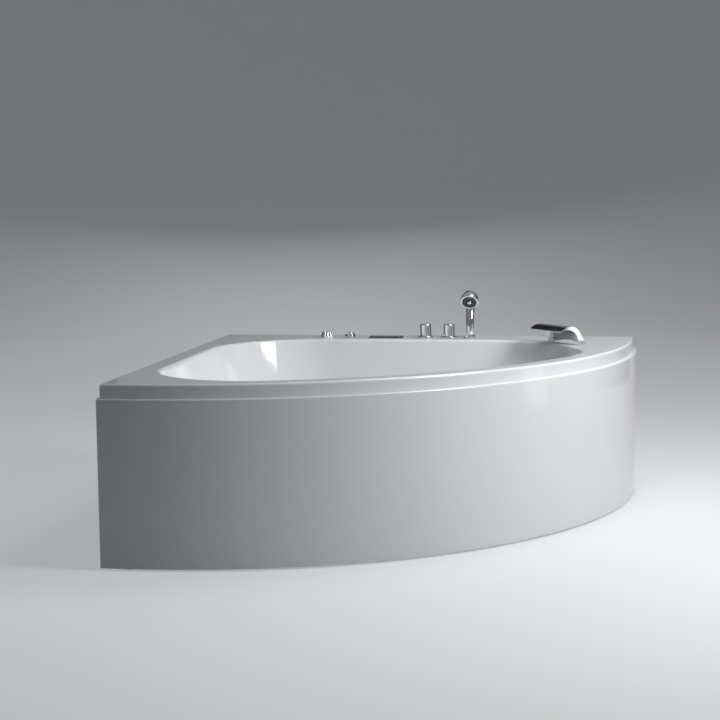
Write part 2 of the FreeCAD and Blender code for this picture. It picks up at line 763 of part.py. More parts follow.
def jet_body():
    socket = "jet_body - jet_barrel + shell_wall - fit"
    return turned("jet_body_source", [
        ("jet_neck_bore_r", "0"), ("jet_neck_r", "0"), ("jet_neck_r", "jet_neck"),
        ("jet_body_r", "jet_neck"),
        ("jet_body_r", "jet_body - jet_flange"), ("jet_flange_r", "jet_body - jet_flange"),
        ("jet_flange_r", "jet_body"), ("jet_barrel_r + fit", "jet_body"), ("jet_barrel_r + fit", socket),
        ("jet_chamber_r", socket), ("jet_chamber_r", "jet_neck + pipe_wall"),
        ("jet_neck_bore_r", "jet_neck + pipe_wall")])


def jet_body_with_port():
    """The turned body with its air port standing up the wall."""
    spot = mm.jet_body + mm.shell_wall - mm.jet_air_depth
    port = cylinder("jet_port", "jet_air_r", "jet_air_reach - jet_body_r + pipe_wall",
                    level(spot, y=mm.jet_body_r - mm.pipe_wall, turn=Z_TO_Y))
    way = cylinder("jet_port_way", "jet_air_bore_r", "jet_air_reach + overrun", level(spot, turn=Z_TO_Y))
    return cut("jet_body_ported", joined("jet_body_solid", jet_body(), port), way)


jet_gasket = turned("jet_gasket_source", [
    ("jet_barrel_r + fit", "0"), ("jet_face_r - jet_face_edge", "0"),
    ("jet_face_r - jet_face_edge", "jet_gasket"), ("jet_barrel_r + fit", "jet_gasket")])
group("jet_faces", jet_face(), [shift(place, z=-mm.jet_barrel) for place in JETS])
JET_FOOT = mm.shell_wall + mm.jet_body
group("jet_bodies", jet_body_with_port(), [shift(place, z=-JET_FOOT) for place in JETS])
for number, place in enumerate(JETS, 1):
    jet_nozzle(number, place)
    hole(place, mm.jet_barrel_r + mm.fit)


# Suction: the guard and fitting in the basin, the pipe behind the wall, and the pump in line with it

SUCTION = on_back_wall(low_corner() - mm.suction_inset, mm.suction_level)
hole(SUCTION, mm.suction_barrel_r + mm.fit)

suction_fitting = turned("suction_fitting", [
    ("suction_bore_r", "0"), ("suction_barrel_r", "0"), ("suction_barrel_r", "suction_barrel"),
    ("suction_flange_r", "suction_barrel"), ("suction_flange_r", "suction_barrel + suction_flange"),
    ("suction_bore_r", "suction_barrel + suction_flange")])
keep("suction_fitting", suction_fitting, shift(SUCTION, z=-mm.suction_barrel))


def suction_guard():
    """A domed cap over the fitting, slotted all round."""
    cap = turned("guard_cap", [
        ("guard_r", "0"), ("guard_r", "guard_height / 2"), ("guard_r - guard_height / 2", "guard_height"),
        ("0", "guard_height"), ("0", "guard_height - guard_wall"),
        ("guard_r - guard_height / 2 - guard_wall / 2", "guard_height - guard_wall"),
        ("suction_flange_r + fit", "guard_height / 2 - guard_wall / 2"), ("suction_flange_r + fit", "0")])
    slots = []
    for k in range(int(mm.guard_slots)):
        turn = Rotation(UP, k * 360 / mm.guard_slots)
        spot = turn.multVec(Vector(mm.guard_r / 3, -mm.guard_slot / 2, mm.guard_height / 2))
        slots.append(box("guard_slot_%d" % k, ("guard_r / 2", "guard_slot", "guard_height"),
                         Placement(spot, turn)))
    return cut("suction_cover", cap, loose("guard_slots", slots))


keep("suction_cover", suction_guard(), SUCTION)
SUCTION_TURN = SUCTION.multVec(Vector(0, 0, -mm.suction_setback))
CASE_END = mm.inlet_length + mm.case_length
MOTOR_END = CASE_END + mm.adapter_length + mm.motor_length + mm.bell_length
PUMP_INLET = plan(POST_FACE - mm.pump_margin - mm.stand_margin - MOTOR_END, 0)
PUMP_INLET = Vector(PUMP_INLET.x, SUCTION_TURN.y, SUCTION_TURN.z)
piece("suction_pipe", tube([SUCTION.multVec(Vector(0, 0, -mm.suction_barrel)), SUCTION_TURN, PUMP_INLET],
                           mm.suction_bend_r, mm.suction_pipe_r, mm.suction_pipe_r - mm.suction_pipe_wall))

# Pump: local Z along the shaft from the inlet, local Y up

PUMP = stand(PUMP_INLET, Vector(1, 0, 0), UP)
AXIS_RISE = PUMP_INLET.z - RAIL_TOP - mm.stand_thick
OUTLET_AT = mm.inlet_length + mm.case_length / 2
OUTLET_UP = level(OUTLET_AT, turn=Z_TO_Y)


def pump_case():
    """The case with its axial inlet and its outlet on top, hollow for the impeller."""
    outside = joined(
        "case_outside",
        cylinder("case_inlet", "inlet_r", "inlet_length + case_wall"),
        cylinder("case_barrel", "case_r", "case_length", level(mm.inlet_length)),
        cylinder("case_outlet", "outlet_r", "outlet_rise", OUTLET_UP))
    return cut(
        "pump_volute", outside,
        cylinder("case_mouth", "suction_bore_r", "inlet_length + 2 * case_wall + overrun",
                 level(-mm.overrun)),
        cylinder("case_chamber", "case_r - case_wall", "case_length - 2 * case_wall",
                 level(mm.inlet_length + mm.case_wall)),
        cylinder("case_way", "water_pipe_r", "outlet_rise + overrun", OUTLET_UP),
        cylinder("case_seal", "shaft_r + running_fit", "2 * case_wall + overrun",
                 level(CASE_END - 2 * mm.case_wall)))


def impeller():
    """Curved blades on a back plate round the hub."""
    back = CASE_END - mm.case_wall - mm.impeller_gap
    front = mm.inlet_length + mm.case_wall + mm.impeller_gap
    wheel = rod(mm.impeller_r, Placement(), back - mm.impeller_plate, back)
    wheel = wheel.fuse(rod(mm.impeller_hub_r, Placement(), front, back))
    reach = rod(mm.impeller_r, Placement(), front, back)
    for k in range(int(mm.blade_count)):
        curve = Placement(Vector(mm.blade_r, 0, 0), Rotation())
        blade = rod(mm.blade_r, curve, front,
                    back).cut(rod(mm.blade_r - mm.blade_thick, curve, 0, CASE_END))
        side = Part.makeBox(2 * mm.blade_r, mm.blade_r, CASE_END)
        blade = blade.common(side).common(reach)
        blade.rotate(Vector(), UP, k * 360 / mm.blade_count)
        wheel = wheel.fuse(blade)
    return wheel.cut(rod(mm.shaft_r, Placement(), 0, CASE_END)).removeSplitter()


def motor():
    """Neck, finned barrel, end bell, feet on the stand and the terminal box."""
    start = CASE_END + mm.adapter_length
    end = start + mm.motor_length
    items = [
        cylinder("motor_neck", "adapter_r", "adapter_length + fin_margin", level(CASE_END)),
        cylinder("motor_barrel", "motor_r", "motor_length", level(start)),
        cylinder("motor_bell", "bell_r", "bell_length", level(end)),
        box("terminal_box", ("terminal_width", "motor_r + terminal_height", "terminal_length"),
            level(TERMINAL_AT - mm.terminal_length / 2, x=-mm.terminal_width / 2)),
        cylinder("terminal_gland", "gland_r", "motor_r + terminal_height + gland_height", GLAND_UP)]
    for k in range(int(mm.fin_count)):
        turn = Rotation(UP, (k + 0.5) * 360 / mm.fin_count)
        spot = turn.multVec(Vector(2 * mm.shaft_r, -mm.fin_thick / 2, start + mm.fin_margin))
        items.append(box("motor_fin_%d" % k, ("motor_r + fin_height - 2 * shaft_r", "fin_thick",
                                              "motor_length - 2 * fin_margin"), Placement(spot, turn)))
    for k, spot in enumerate((start + mm.fin_margin, end - mm.fin_margin - mm.foot_length)):
        items.append(box("motor_foot_%d" % k, ("foot_width", AXIS_RISE, "foot_length"),
                         level(spot, x=-mm.foot_width / 2, y=-AXIS_RISE)))
    bore = cylinder("motor_bore", "shaft_r + running_fit",
                    "adapter_length + motor_length + bell_length + 2 * overrun",
                    level(CASE_END - mm.overrun))
    return cut("motor_housing", joined("motor_solid", *items), bore)


TERMINAL_AT = CASE_END + mm.adapter_length + mm.motor_length / 2
GLAND_UP = level(TERMINAL_AT, turn=Z_TO_Y)
keep("pump_volute", pump_case(), PUMP)
piece("pump_impeller", at(impeller(), PUMP))
keep("motor_housing", motor(), PUMP)
shaft = cylinder("motor_shaft", "shaft_r", "case_length - case_wall - impeller_gap + adapter_length"
                 " + motor_length + bell_length")
keep("motor_shaft", shaft, shift(PUMP, z=mm.inlet_length + mm.case_wall + mm.impeller_gap))

stand_plate = box("pump_stand",
                  ("case_length + adapter_length + motor_length + bell_length + 2 * stand_margin",
                   "stand_depth", "stand_thick"))
STAND_U = PUMP_INLET.x + mm.side / 2 + mm.inlet_length - mm.stand_margin
keep("pump_stand", stand_plate,
     Placement(plan(STAND_U, CORE - mm.rail_size / 2 + mm.stand_depth, RAIL_TOP), Rotation()))

# Manifolds behind the jets

BEHIND = mm.shell_wall + mm.jet_body + mm.water_setback
BACK_WATER = [place.multVec(Vector(0, 0, -BEHIND)) for place in BACK_JETS]
LEFT_WATER = [place.multVec(Vector(0, 0, -BEHIND)) for place in LEFT_JETS]
OUTLET = PUMP.multVec(Vector(0, mm.outlet_rise, OUTLET_AT))


def along(back_points, left_points):
    """The corner and the two ends of a pipe that follows the back jets and then the left jets."""
    corner = Vector(left_points[0].x, back_points[0].y, back_points[0].z)
    end = left_points[-1] - Vector(0, mm.manifold_end, 0)
    return [corner, left_points[0], end]


def water_manifold():
    """From the pump's outlet past every jet, with a branch to each neck."""
    top = Vector(OUTLET.x, OUTLET.y, BACK_WATER[0].z)
    level = Vector(OUTLET.x - 2 * mm.case_r, BACK_WATER[0].y, BACK_WATER[0].z)
    points = [OUTLET, top, level] + along(BACK_WATER, LEFT_WATER)
    inside = points[:-1] + [points[-1] + Vector(0, mm.pipe_wall, 0)]
    pipe = bar(points, mm.water_bend_r, mm.water_pipe_r)
    bore = bar(inside, mm.water_bend_r, mm.water_pipe_r - mm.pipe_wall)
    stubs = [rod(mm.jet_neck_r, place, -BEHIND, -JET_FOOT) for place in JETS]
    ways = [rod(mm.jet_neck_bore_r, place, -BEHIND, -JET_FOOT + mm.overrun) for place in JETS]
    return pipe.multiFuse(stubs).cut(Part.makeCompound([bore] + ways))


AIR_UP = mm.jet_air_reach + mm.air_rise
BACK_AIR = [place.multVec(Vector(0, AIR_UP, -mm.jet_air_depth)) for place in BACK_JETS]
LEFT_AIR = [place.multVec(Vector(0, AIR_UP, -mm.jet_air_depth)) for place in LEFT_JETS]
REGULATOR = on_deck(mm.regulator_place)
AIR_TEE = stand(Vector(REGULATOR.Base.x, BACK_AIR[0].y, BACK_AIR[0].z), Vector(0, 1, 0), UP)
AIR_TEE_END = mm.air_pipe_r + mm.nipple_length


def air_manifold():
    """Along every jet's air port, closed at both ends, with a nipple for the air hose."""
    first = BACK_AIR[-1] + Vector(mm.manifold_end, 0, 0)
    points = [first] + along(BACK_AIR, LEFT_AIR)
    inside = [first - Vector(mm.pipe_wall, 0, 0)] + points[1:-1] + [points[-1] + Vector(0, mm.pipe_wall, 0)]
    pipe = bar(points, mm.air_bend_r, mm.air_pipe_r)
    bores = [bar(inside, mm.air_bend_r, mm.air_pipe_r - mm.pipe_wall)]
    stubs = [rod(mm.nipple_r, AIR_TEE, 0, AIR_TEE_END)]
    bores.append(rod(mm.jet_air_bore_r, AIR_TEE, 0, AIR_TEE_END + mm.overrun))
    for place in JETS:
        port = place.multiply(level(-mm.jet_air_depth, turn=Z_TO_Y))
        stubs.append(rod(mm.jet_air_r, port, mm.jet_air_reach, AIR_UP))
        bores.append(rod(mm.jet_air_bore_r, port, mm.jet_air_reach - mm.overrun, AIR_UP))
    return pipe.multiFuse(stubs).cut(Part.makeCompound(bores))


piece("water_manifold", water_manifold())
piece("air_manifold", air_manifold())

# Air regulator: a bush through the deck, a fluted knob on its stem, and the hose down to the air manifold

LOW_END = mm.bush_length + mm.nipple_length
regulator_body = turned("air_regulator_body", [
    ("0", "0"), ("nipple_r", "0"), ("nipple_r", "nipple_length"), ("bush_r", "nipple_length"),
    ("bush_r", "nipple_length + bush_length"), ("bush_flange_r", "nipple_length + bush_length"),
    ("bush_flange_r", "nipple_length + bush_length + bush_flange"),
    ("regulator_stem_r", "nipple_length + bush_length + bush_flange"),
    ("regulator_stem_r", "nipple_length + bush_length + bush_flange + regulator_stem"),
    ("0", "nipple_length + bush_length + bush_flange + regulator_stem")])
keep("air_regulator_body", regulator_body, shift(REGULATOR, z=-LOW_END))
hole(REGULATOR, mm.bush_r + mm.fit)


def regulator_knob():
    """A tapered knob with flutes all round and a blind hole for the stem."""
    knob = turned("regulator_cone", [
        ("regulator_stem_r + running_fit", "0"), ("regulator_low_r", "0"),
        ("regulator_top_r", "regulator_height"), ("0", "regulator_height"), ("0", "regulator_stem"),
        ("regulator_stem_r + running_fit", "regulator_stem")])
    lean = math.degrees(math.atan2(mm.regulator_low_r - mm.regulator_top_r, mm.regulator_height))
    flutes = []
    for k in range(int(mm.flute_count)):
        turn = Rotation(UP, k * 360 / mm.flute_count).multiply(Rotation(Vector(0, 1, 0), -lean))
        out = Rotation(UP, k * 360 / mm.flute_count).multVec(Vector(mm.regulator_low_r + mm.flute_r, 0, 0))
        inward = out.normalize() * (mm.regulator_low_r + mm.flute_r - mm.flute_depth)
        flutes.append(cylinder("flute_%d" % k, "flute_r", "regulator_height * 2", Placement(inward, turn)))
    return cut("air_regulator_knob", knob, loose("flutes", flutes))


keep("air_regulator_knob", regulator_knob(), shift(REGULATOR, z=mm.bush_flange + mm.seat_gap))
HOSE_LOW = REGULATOR.multVec(Vector(0, 0, -LOW_END))
AIR_HOSE_TURN = Vector(HOSE_LOW.x, HOSE_LOW.y, BACK_AIR[0].z)
piece("air_hose", tube([HOSE_LOW + UP * (mm.nipple_length - mm.fit), AIR_HOSE_TURN,
                        AIR_TEE.multVec(Vector(0, 0, mm.air_pipe_r + mm.fit))],
                       mm.air_hose_bend_r, mm.air_hose_r, mm.air_hose_bore_r))

# Air switch: a button that slides in its bezel and bush, and the thin tube to the control box

SWITCH = on_deck(mm.switch_place)
SWITCH_END = mm.bush_length + mm.bush_wall * 2
switch_body = turned("jet_button_body", [
    ("0", "0"), ("switch_nipple_r", "0"), ("switch_nipple_r", "bush_wall"), ("bush_r", "bush_wall"),
    ("bush_r", "2 * bush_wall + bush_length"), ("bezel_r", "2 * bush_wall + bush_length"),
    ("bezel_r", "2 * bush_wall + bush_length + bush_flange"),
    ("bezel_top_r", "2 * bush_wall + bush_length + bezel_height"),
    ("button_r + fit", "2 * bush_wall + bush_length + bezel_height"),
    ("button_r + fit", "bush_wall * 2"), ("0", "bush_wall * 2")])
keep("jet_button_body", switch_body, shift(SWITCH, z=-SWITCH_END))
hole(SWITCH, mm.bush_r + mm.fit)
button = turned("jet_button", [("0", "0"), ("button_r", "0"), ("button_r", "button_length"),
                               ("0", "button_length")])
rounded(button, "button_edge_r", lambda edge: edge.BoundBox.ZMin > mm.button_length - TINY)
keep("jet_button", button, shift(SWITCH, z=mm.button_rise - mm.button_length))

# Control box on the right post, and the leads that run to it behind the fittings

CONTROL_TOP = DECK - mm.control_drop
CONTROL = stand(plan(POST_FACE - mm.control_width, CORE - mm.control_depth / 2,
                     CONTROL_TOP - mm.control_height),
                Vector(0, -1, 0), UP)
GLANDS = [Vector(mm.gland_first + k * mm.gland_pitch, mm.control_height,
                 mm.control_depth / 2) for k in range(2)]
MOTOR_GLAND = PUMP.multVec(Vector(0, mm.motor_r + mm.terminal_height + mm.gland_height, TERMINAL_AT))
LOW_GLAND = Vector(mm.gland_first, -mm.gland_height, mm.control_depth / 2)


def control_box():
    """A rounded box, local Y up, with two glands on top and one below."""
    case = padded("control_case", [("0", "0"), ("control_width", "0"), ("control_width", "control_height"),
                                   ("0", "control_height")], "control_depth")
    rounded(case, "control_edge_r", lambda edge: edge.BoundBox.ZLength > TINY)
    stubs = [cylinder("box_gland_%d" % k, "gland_r", "gland_height + control_edge_r",
                      Placement(spot - Vector(0, mm.control_edge_r, 0), Z_TO_Y)) for k,
                      spot in enumerate(GLANDS)]
    stubs.append(cylinder("box_gland_low", "gland_r", "gland_height + control_edge_r",
                          Placement(LOW_GLAND, Z_TO_Y)))
    return joined("control_box", case, *stubs)


def lead(name, points):
    return piece(name, bar(points, mm.lead_bend_r, mm.lead_r))


def lead_to_box(name, start, drop, line, gland):
    """Down from a fitting, back to its line, along the back wall and down into a gland of the box."""
    run = DECK - drop
    end = CONTROL.multVec(gland + Vector(0, mm.gland_height, 0))
    back = mm.side / 2 - line
    lead(name, [start, Vector(start.x, start.y, run), Vector(start.x, back, run), Vector(end.x, back, run),
                Vector(end.x, end.y, run), end])


keep("control_box", control_box(), CONTROL)
lead_to_box("air_tube", SWITCH.multVec(Vector(0, 0, -SWITCH_END)), mm.tube_level, mm.tube_line, GLANDS[0])

PANEL = on_deck(mm.panel_place)
panel = padded("panel_plate", [
    ("0 - panel_length / 2", "0 - panel_width / 2"), ("panel_length / 2", "0 - panel_width / 2"),
    ("panel_length / 2", "panel_width / 2"), ("0 - panel_length / 2", "panel_width / 2")], "panel_thick")
rounded(panel, "panel_corner_r", lambda edge: edge.BoundBox.ZLength > TINY)
plug = cylinder("panel_stem", "panel_plug_r", "panel_plug",
                Placement(Vector(0, 0, -mm.panel_plug), Rotation()))
keep("control_panel", joined("control_panel", panel, plug), PANEL)
hole(PANEL, mm.panel_plug_r + mm.fit)
lead_to_box("panel_cable", PANEL.multVec(Vector(0, 0, -mm.panel_plug)), mm.lead_level, mm.lead_line,
            GLANDS[1])

BOX_EXIT = CONTROL.multVec(LOW_GLAND)
LEAD_LEVEL = (BOX_EXIT.z + MOTOR_GLAND.z) / 2
lead("motor_cable", [BOX_EXIT, Vector(BOX_EXIT.x, BOX_EXIT.y, LEAD_LEVEL),
                     Vector(MOTOR_GLAND.x, MOTOR_GLAND.y, LEAD_LEVEL), MOTOR_GLAND])

# Mixer and diverter: an escutcheon and a knob on the deck, the valve below it

MIXER = on_deck(mm.mixer_place)
DIVERTER = on_deck(mm.diverter_place)
for place in (MIXER, DIVERTER):
    hole(place, mm.valve_neck_r + mm.fit)

escutcheon = turned("escutcheon_source", [
    ("valve_neck_r + fit", "0"), ("plate_r", "0"), ("plate_r", "plate_thick"),
    ("valve_neck_r + fit", "plate_thick")])
rounded(escutcheon, "plate_edge_r",
        lambda edge: edge.BoundBox.ZMin > mm.plate_thick - TINY and edge.BoundBox.XMax > mm.plate_r - TINY)
group("valve_escutcheons", escutcheon, [MIXER, DIVERTER])


def knob(name, place):
    body = turned(name, [
        ("valve_stem_r + running_fit", "0"), ("knob_r", "0"), ("knob_r", "knob_height"),
        ("0", "knob_height"),
        ("0", "knob_socket"), ("valve_stem_r + running_fit", "knob_socket")])
    rounded(body, "knob_edge_r",
            lambda edge: edge.BoundBox.ZMin > mm.knob_height - TINY and edge.BoundBox.XMax > mm.knob_r - TINY)
    keep(name, body, shift(place, z=mm.plate_thick + mm.seat_gap))


def valve(name):
    """The turned part of a valve: body, threaded neck through the deck, stem for the knob."""
    return turned(name, [
        ("0", "0"), ("valve_r", "0"), ("valve_r", "valve_length - valve_neck"),
        ("valve_neck_r", "valve_length - valve_neck"), ("valve_neck_r", "valve_length + plate_thick"),
        ("valve_stem_r", "valve_length + plate_thick"),
        ("valve_stem_r", "valve_length + plate_thick + knob_socket"),
        ("0", "valve_length + plate_thick + knob_socket")])


def tail(number, side):
    """A supply tail to the back of the mixer with a shoulder behind its thread, and the bore in its end."""
    place = stand(Vector(side * mm.inlet_spread / 2, 0, mm.valve_length - mm.inlet_drop), Vector(0, 1, 0),
                  UP)
    bore = cylinder("tail_bore_%d" % number, "inlet_tail_r - waste_wall / 2",
                    "inlet_tail - valve_r + overrun",
                    shift(place, z=mm.valve_r))
    collar = cylinder("tail_collar_%d" % number, "tail_collar_r", "inlet_tail - tail_thread - valve_r",
                      shift(place, z=mm.valve_r))
    return joined("tail_%d" % number, collar,
                  cylinder("tail_thread_%d" % number, "inlet_tail_r", "inlet_tail", place)), bore


def mixer_valve():
    """The mixer valve with a hot and a cold tail to the back and a pipe across to the diverter."""
    (hot, hot_bore), (cold, cold_bore) = tail(1, -1), tail(2, 1)
    yoke = cylinder("tail_yoke", "inlet_tail_r", "inlet_spread",
                    stand(Vector(-mm.inlet_spread / 2, 0, mm.valve_length - mm.inlet_drop), Vector(1, 0, 0),
                          UP))
    bridge = cylinder("valve_bridge", "branch_r", "diverter_place - mixer_place - valve_r",
                      stand(Vector(0, 0, mm.valve_length - mm.bridge_drop), Vector(1, 0, 0), UP))
    return cut("mixer_valve", joined("mixer_solid", valve("mixer_turned"), hot, cold, yoke, bridge),
               hot_bore, cold_bore)


def diverter_valve():
    """The diverter valve with an outlet to the spout pipe and an arm down to the shower hose."""
    arm = cylinder("hose_arm", "branch_r", "diverter_place - handset_place + 2 * hose_turn_r + branch_r",
                   stand(Vector(0, 0, mm.valve_length - mm.hose_arm_drop), Vector(-1, 0, 0), UP))
    drop = cylinder("hose_arm_drop_tube", "branch_r", "hose_arm_end - hose_arm_drop",
                    level(mm.valve_length - mm.hose_arm_end,
                          x=mm.handset_place - 2 * mm.hose_turn_r - mm.diverter_place))
    front = cylinder("spout_branch", "branch_r", "spout_outlet",
                     stand(Vector(0, 0, mm.valve_length - SPOUT_LEVEL), Vector(0, -1, 0), UP))
    return joined("diverter_valve", valve("diverter_turned"), arm, drop, front)


SPOUT_LEVEL = mm.shank_length + mm.spout_pipe_drop
keep("mixer_valve", mixer_valve(), shift(MIXER, z=-mm.valve_length))
keep("diverter_valve", diverter_valve(), shift(DIVERTER, z=-mm.valve_length))
knob("mixer_knob", MIXER)
knob("diverter_knob", DIVERTER)

# Spout: a curling sheet of constant section, local X over the water, with a slot in its lip

SPOUT_SIDE = Vector(math.cos(math.radians(mm.spout_angle)), math.sin(math.radians(mm.spout_angle)), 0)
SPOUT_FOOT = spout_corner(DECK) + SPOUT_SIDE * (mm.spout_corner_r + mm.spout_setback)
SPOUT = Placement(SPOUT_FOOT, Rotation(SPOUT_SIDE * -1, Vector(), UP, "ZXY"))


def curl(low, high):
    """A curve that rises level to its top point: the arc through low that is level at high."""
    rise = high.z - low.z
    radius = ((high.x - low.x) ** 2 + rise ** 2) / (2 * rise)
    return bow(Vector(high.x, high.y, high.z - radius), low, high)


def spout_section(y):
    """The spout's outline: sloping back, rounded top, thin lip and hollow underside."""
    slope = math.radians(mm.spout_back_angle)
    centre = Vector(mm.spout_apex, y, mm.spout_height - mm.spout_top_r)
    shoulder = centre + Vector(-math.sin(slope), 0, math.cos(slope)) * mm.spout_top_r
    heel = Vector(shoulder.x - shoulder.z / math.tan(slope), y, 0)
    top = Vector(mm.spout_apex, y, mm.spout_height)
    lip = Vector(mm.spout_reach, y, mm.spout_lip_level)
    under_lip = lip - Vector(mm.spout_lip / 2, 0, mm.spout_lip)
    under = Vector(mm.spout_under_apex, y, mm.spout_under)
    toe = Vector(0, y, 0)
    return Part.Wire([straight(heel, shoulder), bow(centre, shoulder, top), curl(lip, top),
                      straight(lip, under_lip),
                      curl(under_lip, under), curl(toe, under), straight(toe, heel)]), heel


def spout():
    """A hollow casting: the section pulled across, its room, the slot in the lip and the shank."""
    half = mm.spout_width / 2
    wire, heel = spout_section(-half)
    solid = Part.Face(wire).extrude(Vector(0, mm.spout_width, 0))
    inner = Part.Face(spout_section(mm.spout_wall - half)[0]).makeOffset2D(-mm.spout_wall)
    room = inner.extrude(Vector(0, mm.spout_width - 2 * mm.spout_wall, 0))
    slope = math.degrees(math.atan2(mm.spout_under - mm.spout_lip_level + mm.spout_lip,
                                    mm.spout_reach - mm.spout_apex))
    slot = Part.makeBox(mm.slot_depth + mm.overrun, mm.spout_width - 2 * mm.slot_margin, mm.slot_height,
                        Vector(-mm.slot_depth, mm.slot_margin - half, -mm.slot_height / 2))
    slot.Placement = Placement(Vector(mm.spout_reach, 0, mm.spout_lip_level - mm.spout_lip / 2),
                               Rotation(Vector(0, 1, 0), slope))
    shank = level(0, x=heel.x / 2)
    threaded = rod(mm.shank_r, shank, -mm.shank_length, mm.spout_wall)
    bore = rod(mm.shank_bore_r, shank, -mm.shank_length - mm.overrun, mm.spout_wall + mm.overrun)
    return solid.fuse(threaded).cut(Part.makeCompound([room, slot, bore])), shank


spout_solid, shank_place = spout()
piece("spout", at(spout_solid, SPOUT))
SHANK = SPOUT.multiply(shank_place)
hole(SHANK, mm.shank_r + mm.fit)
SHANK_END = SHANK.multVec(Vector(0, 0, -mm.shank_length))
PIPE_START = DIVERTER.multVec(Vector(0, -mm.spout_outlet, -SPOUT_LEVEL))
PIPE_TURN = PIPE_START - Vector(0, mm.branch_bend_r, 0)
PIPE_SIDE = Vector(SHANK_END.x - (PIPE_TURN.y - SHANK_END.y), PIPE_TURN.y, PIPE_TURN.z)
piece("spout_pipe", tube([PIPE_START, PIPE_TURN, PIPE_SIDE, Vector(SHANK_END.x, SHANK_END.y, PIPE_TURN.z),
                          SHANK_END],
                         mm.branch_bend_r - mm.fit, mm.branch_r, mm.branch_r - mm.branch_wall))

# Hand shower: the holder in the deck, the hose cone that sits in it, the handset that swivels on the cone

HANDSET = on_deck(mm.handset_place)
hole(HANDSET, mm.holder_barrel_r + mm.fit)
holder = turned("handset_holder", [
    ("holder_neck_r", "0"), ("holder_barrel_r", "0"), ("holder_barrel_r", "holder_barrel"),
    ("holder_r", "holder_barrel"), ("holder_r", "holder_barrel + holder_height / 2"),
    ("holder_top_r", "holder_barrel + holder_height"),
    ("cone_low_r + fit + (cone_top_r - cone_low_r) * (cone_drop + holder_height) / cone_length",
     "holder_barrel + holder_height"),
    ("cone_low_r + fit", "holder_barrel - cone_drop - seat_gap"),
    ("holder_neck_r", "holder_barrel - cone_drop - seat_gap")])
keep("handset_holder", holder, shift(HANDSET, z=-mm.holder_barrel))

cone = turned("hose_cone", [
    ("0", "0"), ("cone_low_r", "0"), ("cone_top_r", "cone_length"), ("pivot_r", "cone_length"),
    ("pivot_r", "cone_length + pivot_length"), ("0", "cone_length + pivot_length")])
CONE = shift(HANDSET, z=-mm.cone_drop)
keep("hose_cone", cone, CONE)
GRIP = shift(CONE, z=mm.cone_length + mm.seat_gap)


def handset():
    """Tapered handle with a domed head on top, its face recessed for the spray plate."""
    grip = turned("handset_grip", [
        ("pivot_r + running_fit", "0"), ("grip_low_r", "0"), ("grip_top_r", "grip_length"),
        ("0", "grip_length"),
        ("0", "pivot_length"), ("pivot_r + running_fit", "pivot_length")])
    dome = doc.addObject("Part::Ellipsoid", "handset_dome")
    for side, text in (("Radius1", "head_depth"), ("Radius2", "head_r"), ("Radius3", "head_r")):
        dome.setExpression(side, bound(text))
    dome.Angle1 = 0
    dome.Angle2 = 90
    dome.Placement = HEAD
    edge = cylinder("handset_rim", "head_r", "head_rim", shift(HEAD, z=-mm.head_rim))
    recess = cylinder("handset_recess", "face_r + fit / 2", "face_recess + overrun",
                      shift(HEAD, z=-mm.head_rim - mm.overrun))
    return cut("handset", joined("handset_solid", grip, dome, edge), recess)


tilt = math.radians(mm.head_tilt)
HEAD = stand(Vector(0, -mm.head_forward, mm.head_rise), Vector(0, math.cos(tilt), math.sin(tilt)), UP)
keep("handset", handset(), GRIP)
spray = turned("spray_face", [
    ("0", "0"), ("face_cap_r", "0"), ("face_cap_r", "face_cap"), ("face_r", "face_cap"),
    ("face_r", "face_cap + face_thick"), ("0", "face_cap + face_thick")])
keep("spray_face", spray,
     GRIP.multiply(shift(HEAD, z=mm.face_recess - mm.head_rim - mm.face_cap - mm.face_thick)))

HOSE_TOP = CONE.Base
HOSE_END = DIVERTER.multVec(Vector(mm.handset_place - 2 * mm.hose_turn_r - mm.diverter_place, 0,
                                   -mm.hose_arm_end))


def shower_hose():
    """Down from the cone, round a half turn, and up to the diverter's arm."""
    low = Vector(HOSE_TOP.x, HOSE_TOP.y, mm.hose_low)
    back = Vector(HOSE_END.x, HOSE_END.y, mm.hose_low)
    bottom = (low + back) * 0.5 - UP * mm.hose_turn_r
    path = Part.Wire([straight(HOSE_TOP, low), Part.Arc(low, bottom, back).toShape(),
                      straight(back, HOSE_END)])
    rings = [Part.Wire([Part.makeCircle(r, HOSE_TOP, UP)]) for r in (mm.hose_r, mm.hose_bore_r)]
    outer, inner = [path.makePipeShell([ring], True, False) for ring in rings]
    return outer.cut(inner)


piece("shower_hose", shower_hose())


# Lock nuts under the deck and behind the suction fitting

def nut(name, thread, corner, thick):
    """A six-sided nut round a thread."""
    prism = doc.addObject("Part::Prism", name + "_hex")
    prism.Polygon = 6
    prism.setExpression("Circumradius", bound(corner))
    prism.setExpression("Height", bound(thick))
    bore = cylinder(name + "_bore", thread + " + fit", thick + " + 2 * overrun", level(-mm.overrun))
    return cut(name, prism, bore)


def deck_nut(place, thread):
    item = nut("nut_" + place[0], thread, thread + " + nut_margin", "nut_thick")
    item.Placement = shift(place[1], z=-mm.shell_wall - mm.nut_thick)
    return item


lock_nuts = [deck_nut(("regulator", REGULATOR), "bush_r"), deck_nut(("switch", SWITCH), "bush_r"),
             deck_nut(("mixer", MIXER), "valve_neck_r"), deck_nut(("diverter", DIVERTER), "valve_neck_r"),
             deck_nut(("spout", SHANK), "shank_r"), deck_nut(("handset", HANDSET), "holder_barrel_r")]
suction_nut = nut("nut_suction", "suction_barrel_r", "suction_nut_r", "suction_nut")
suction_nut.Placement = shift(SUCTION, z=-mm.shell_wall - mm.suction_nut)
keep("lock_nuts", loose("lock_nuts", lock_nuts + [suction_nut]))

# Waste: flange and stopper in the basin floor, body and outlet below it, overflow pipe from the front wall

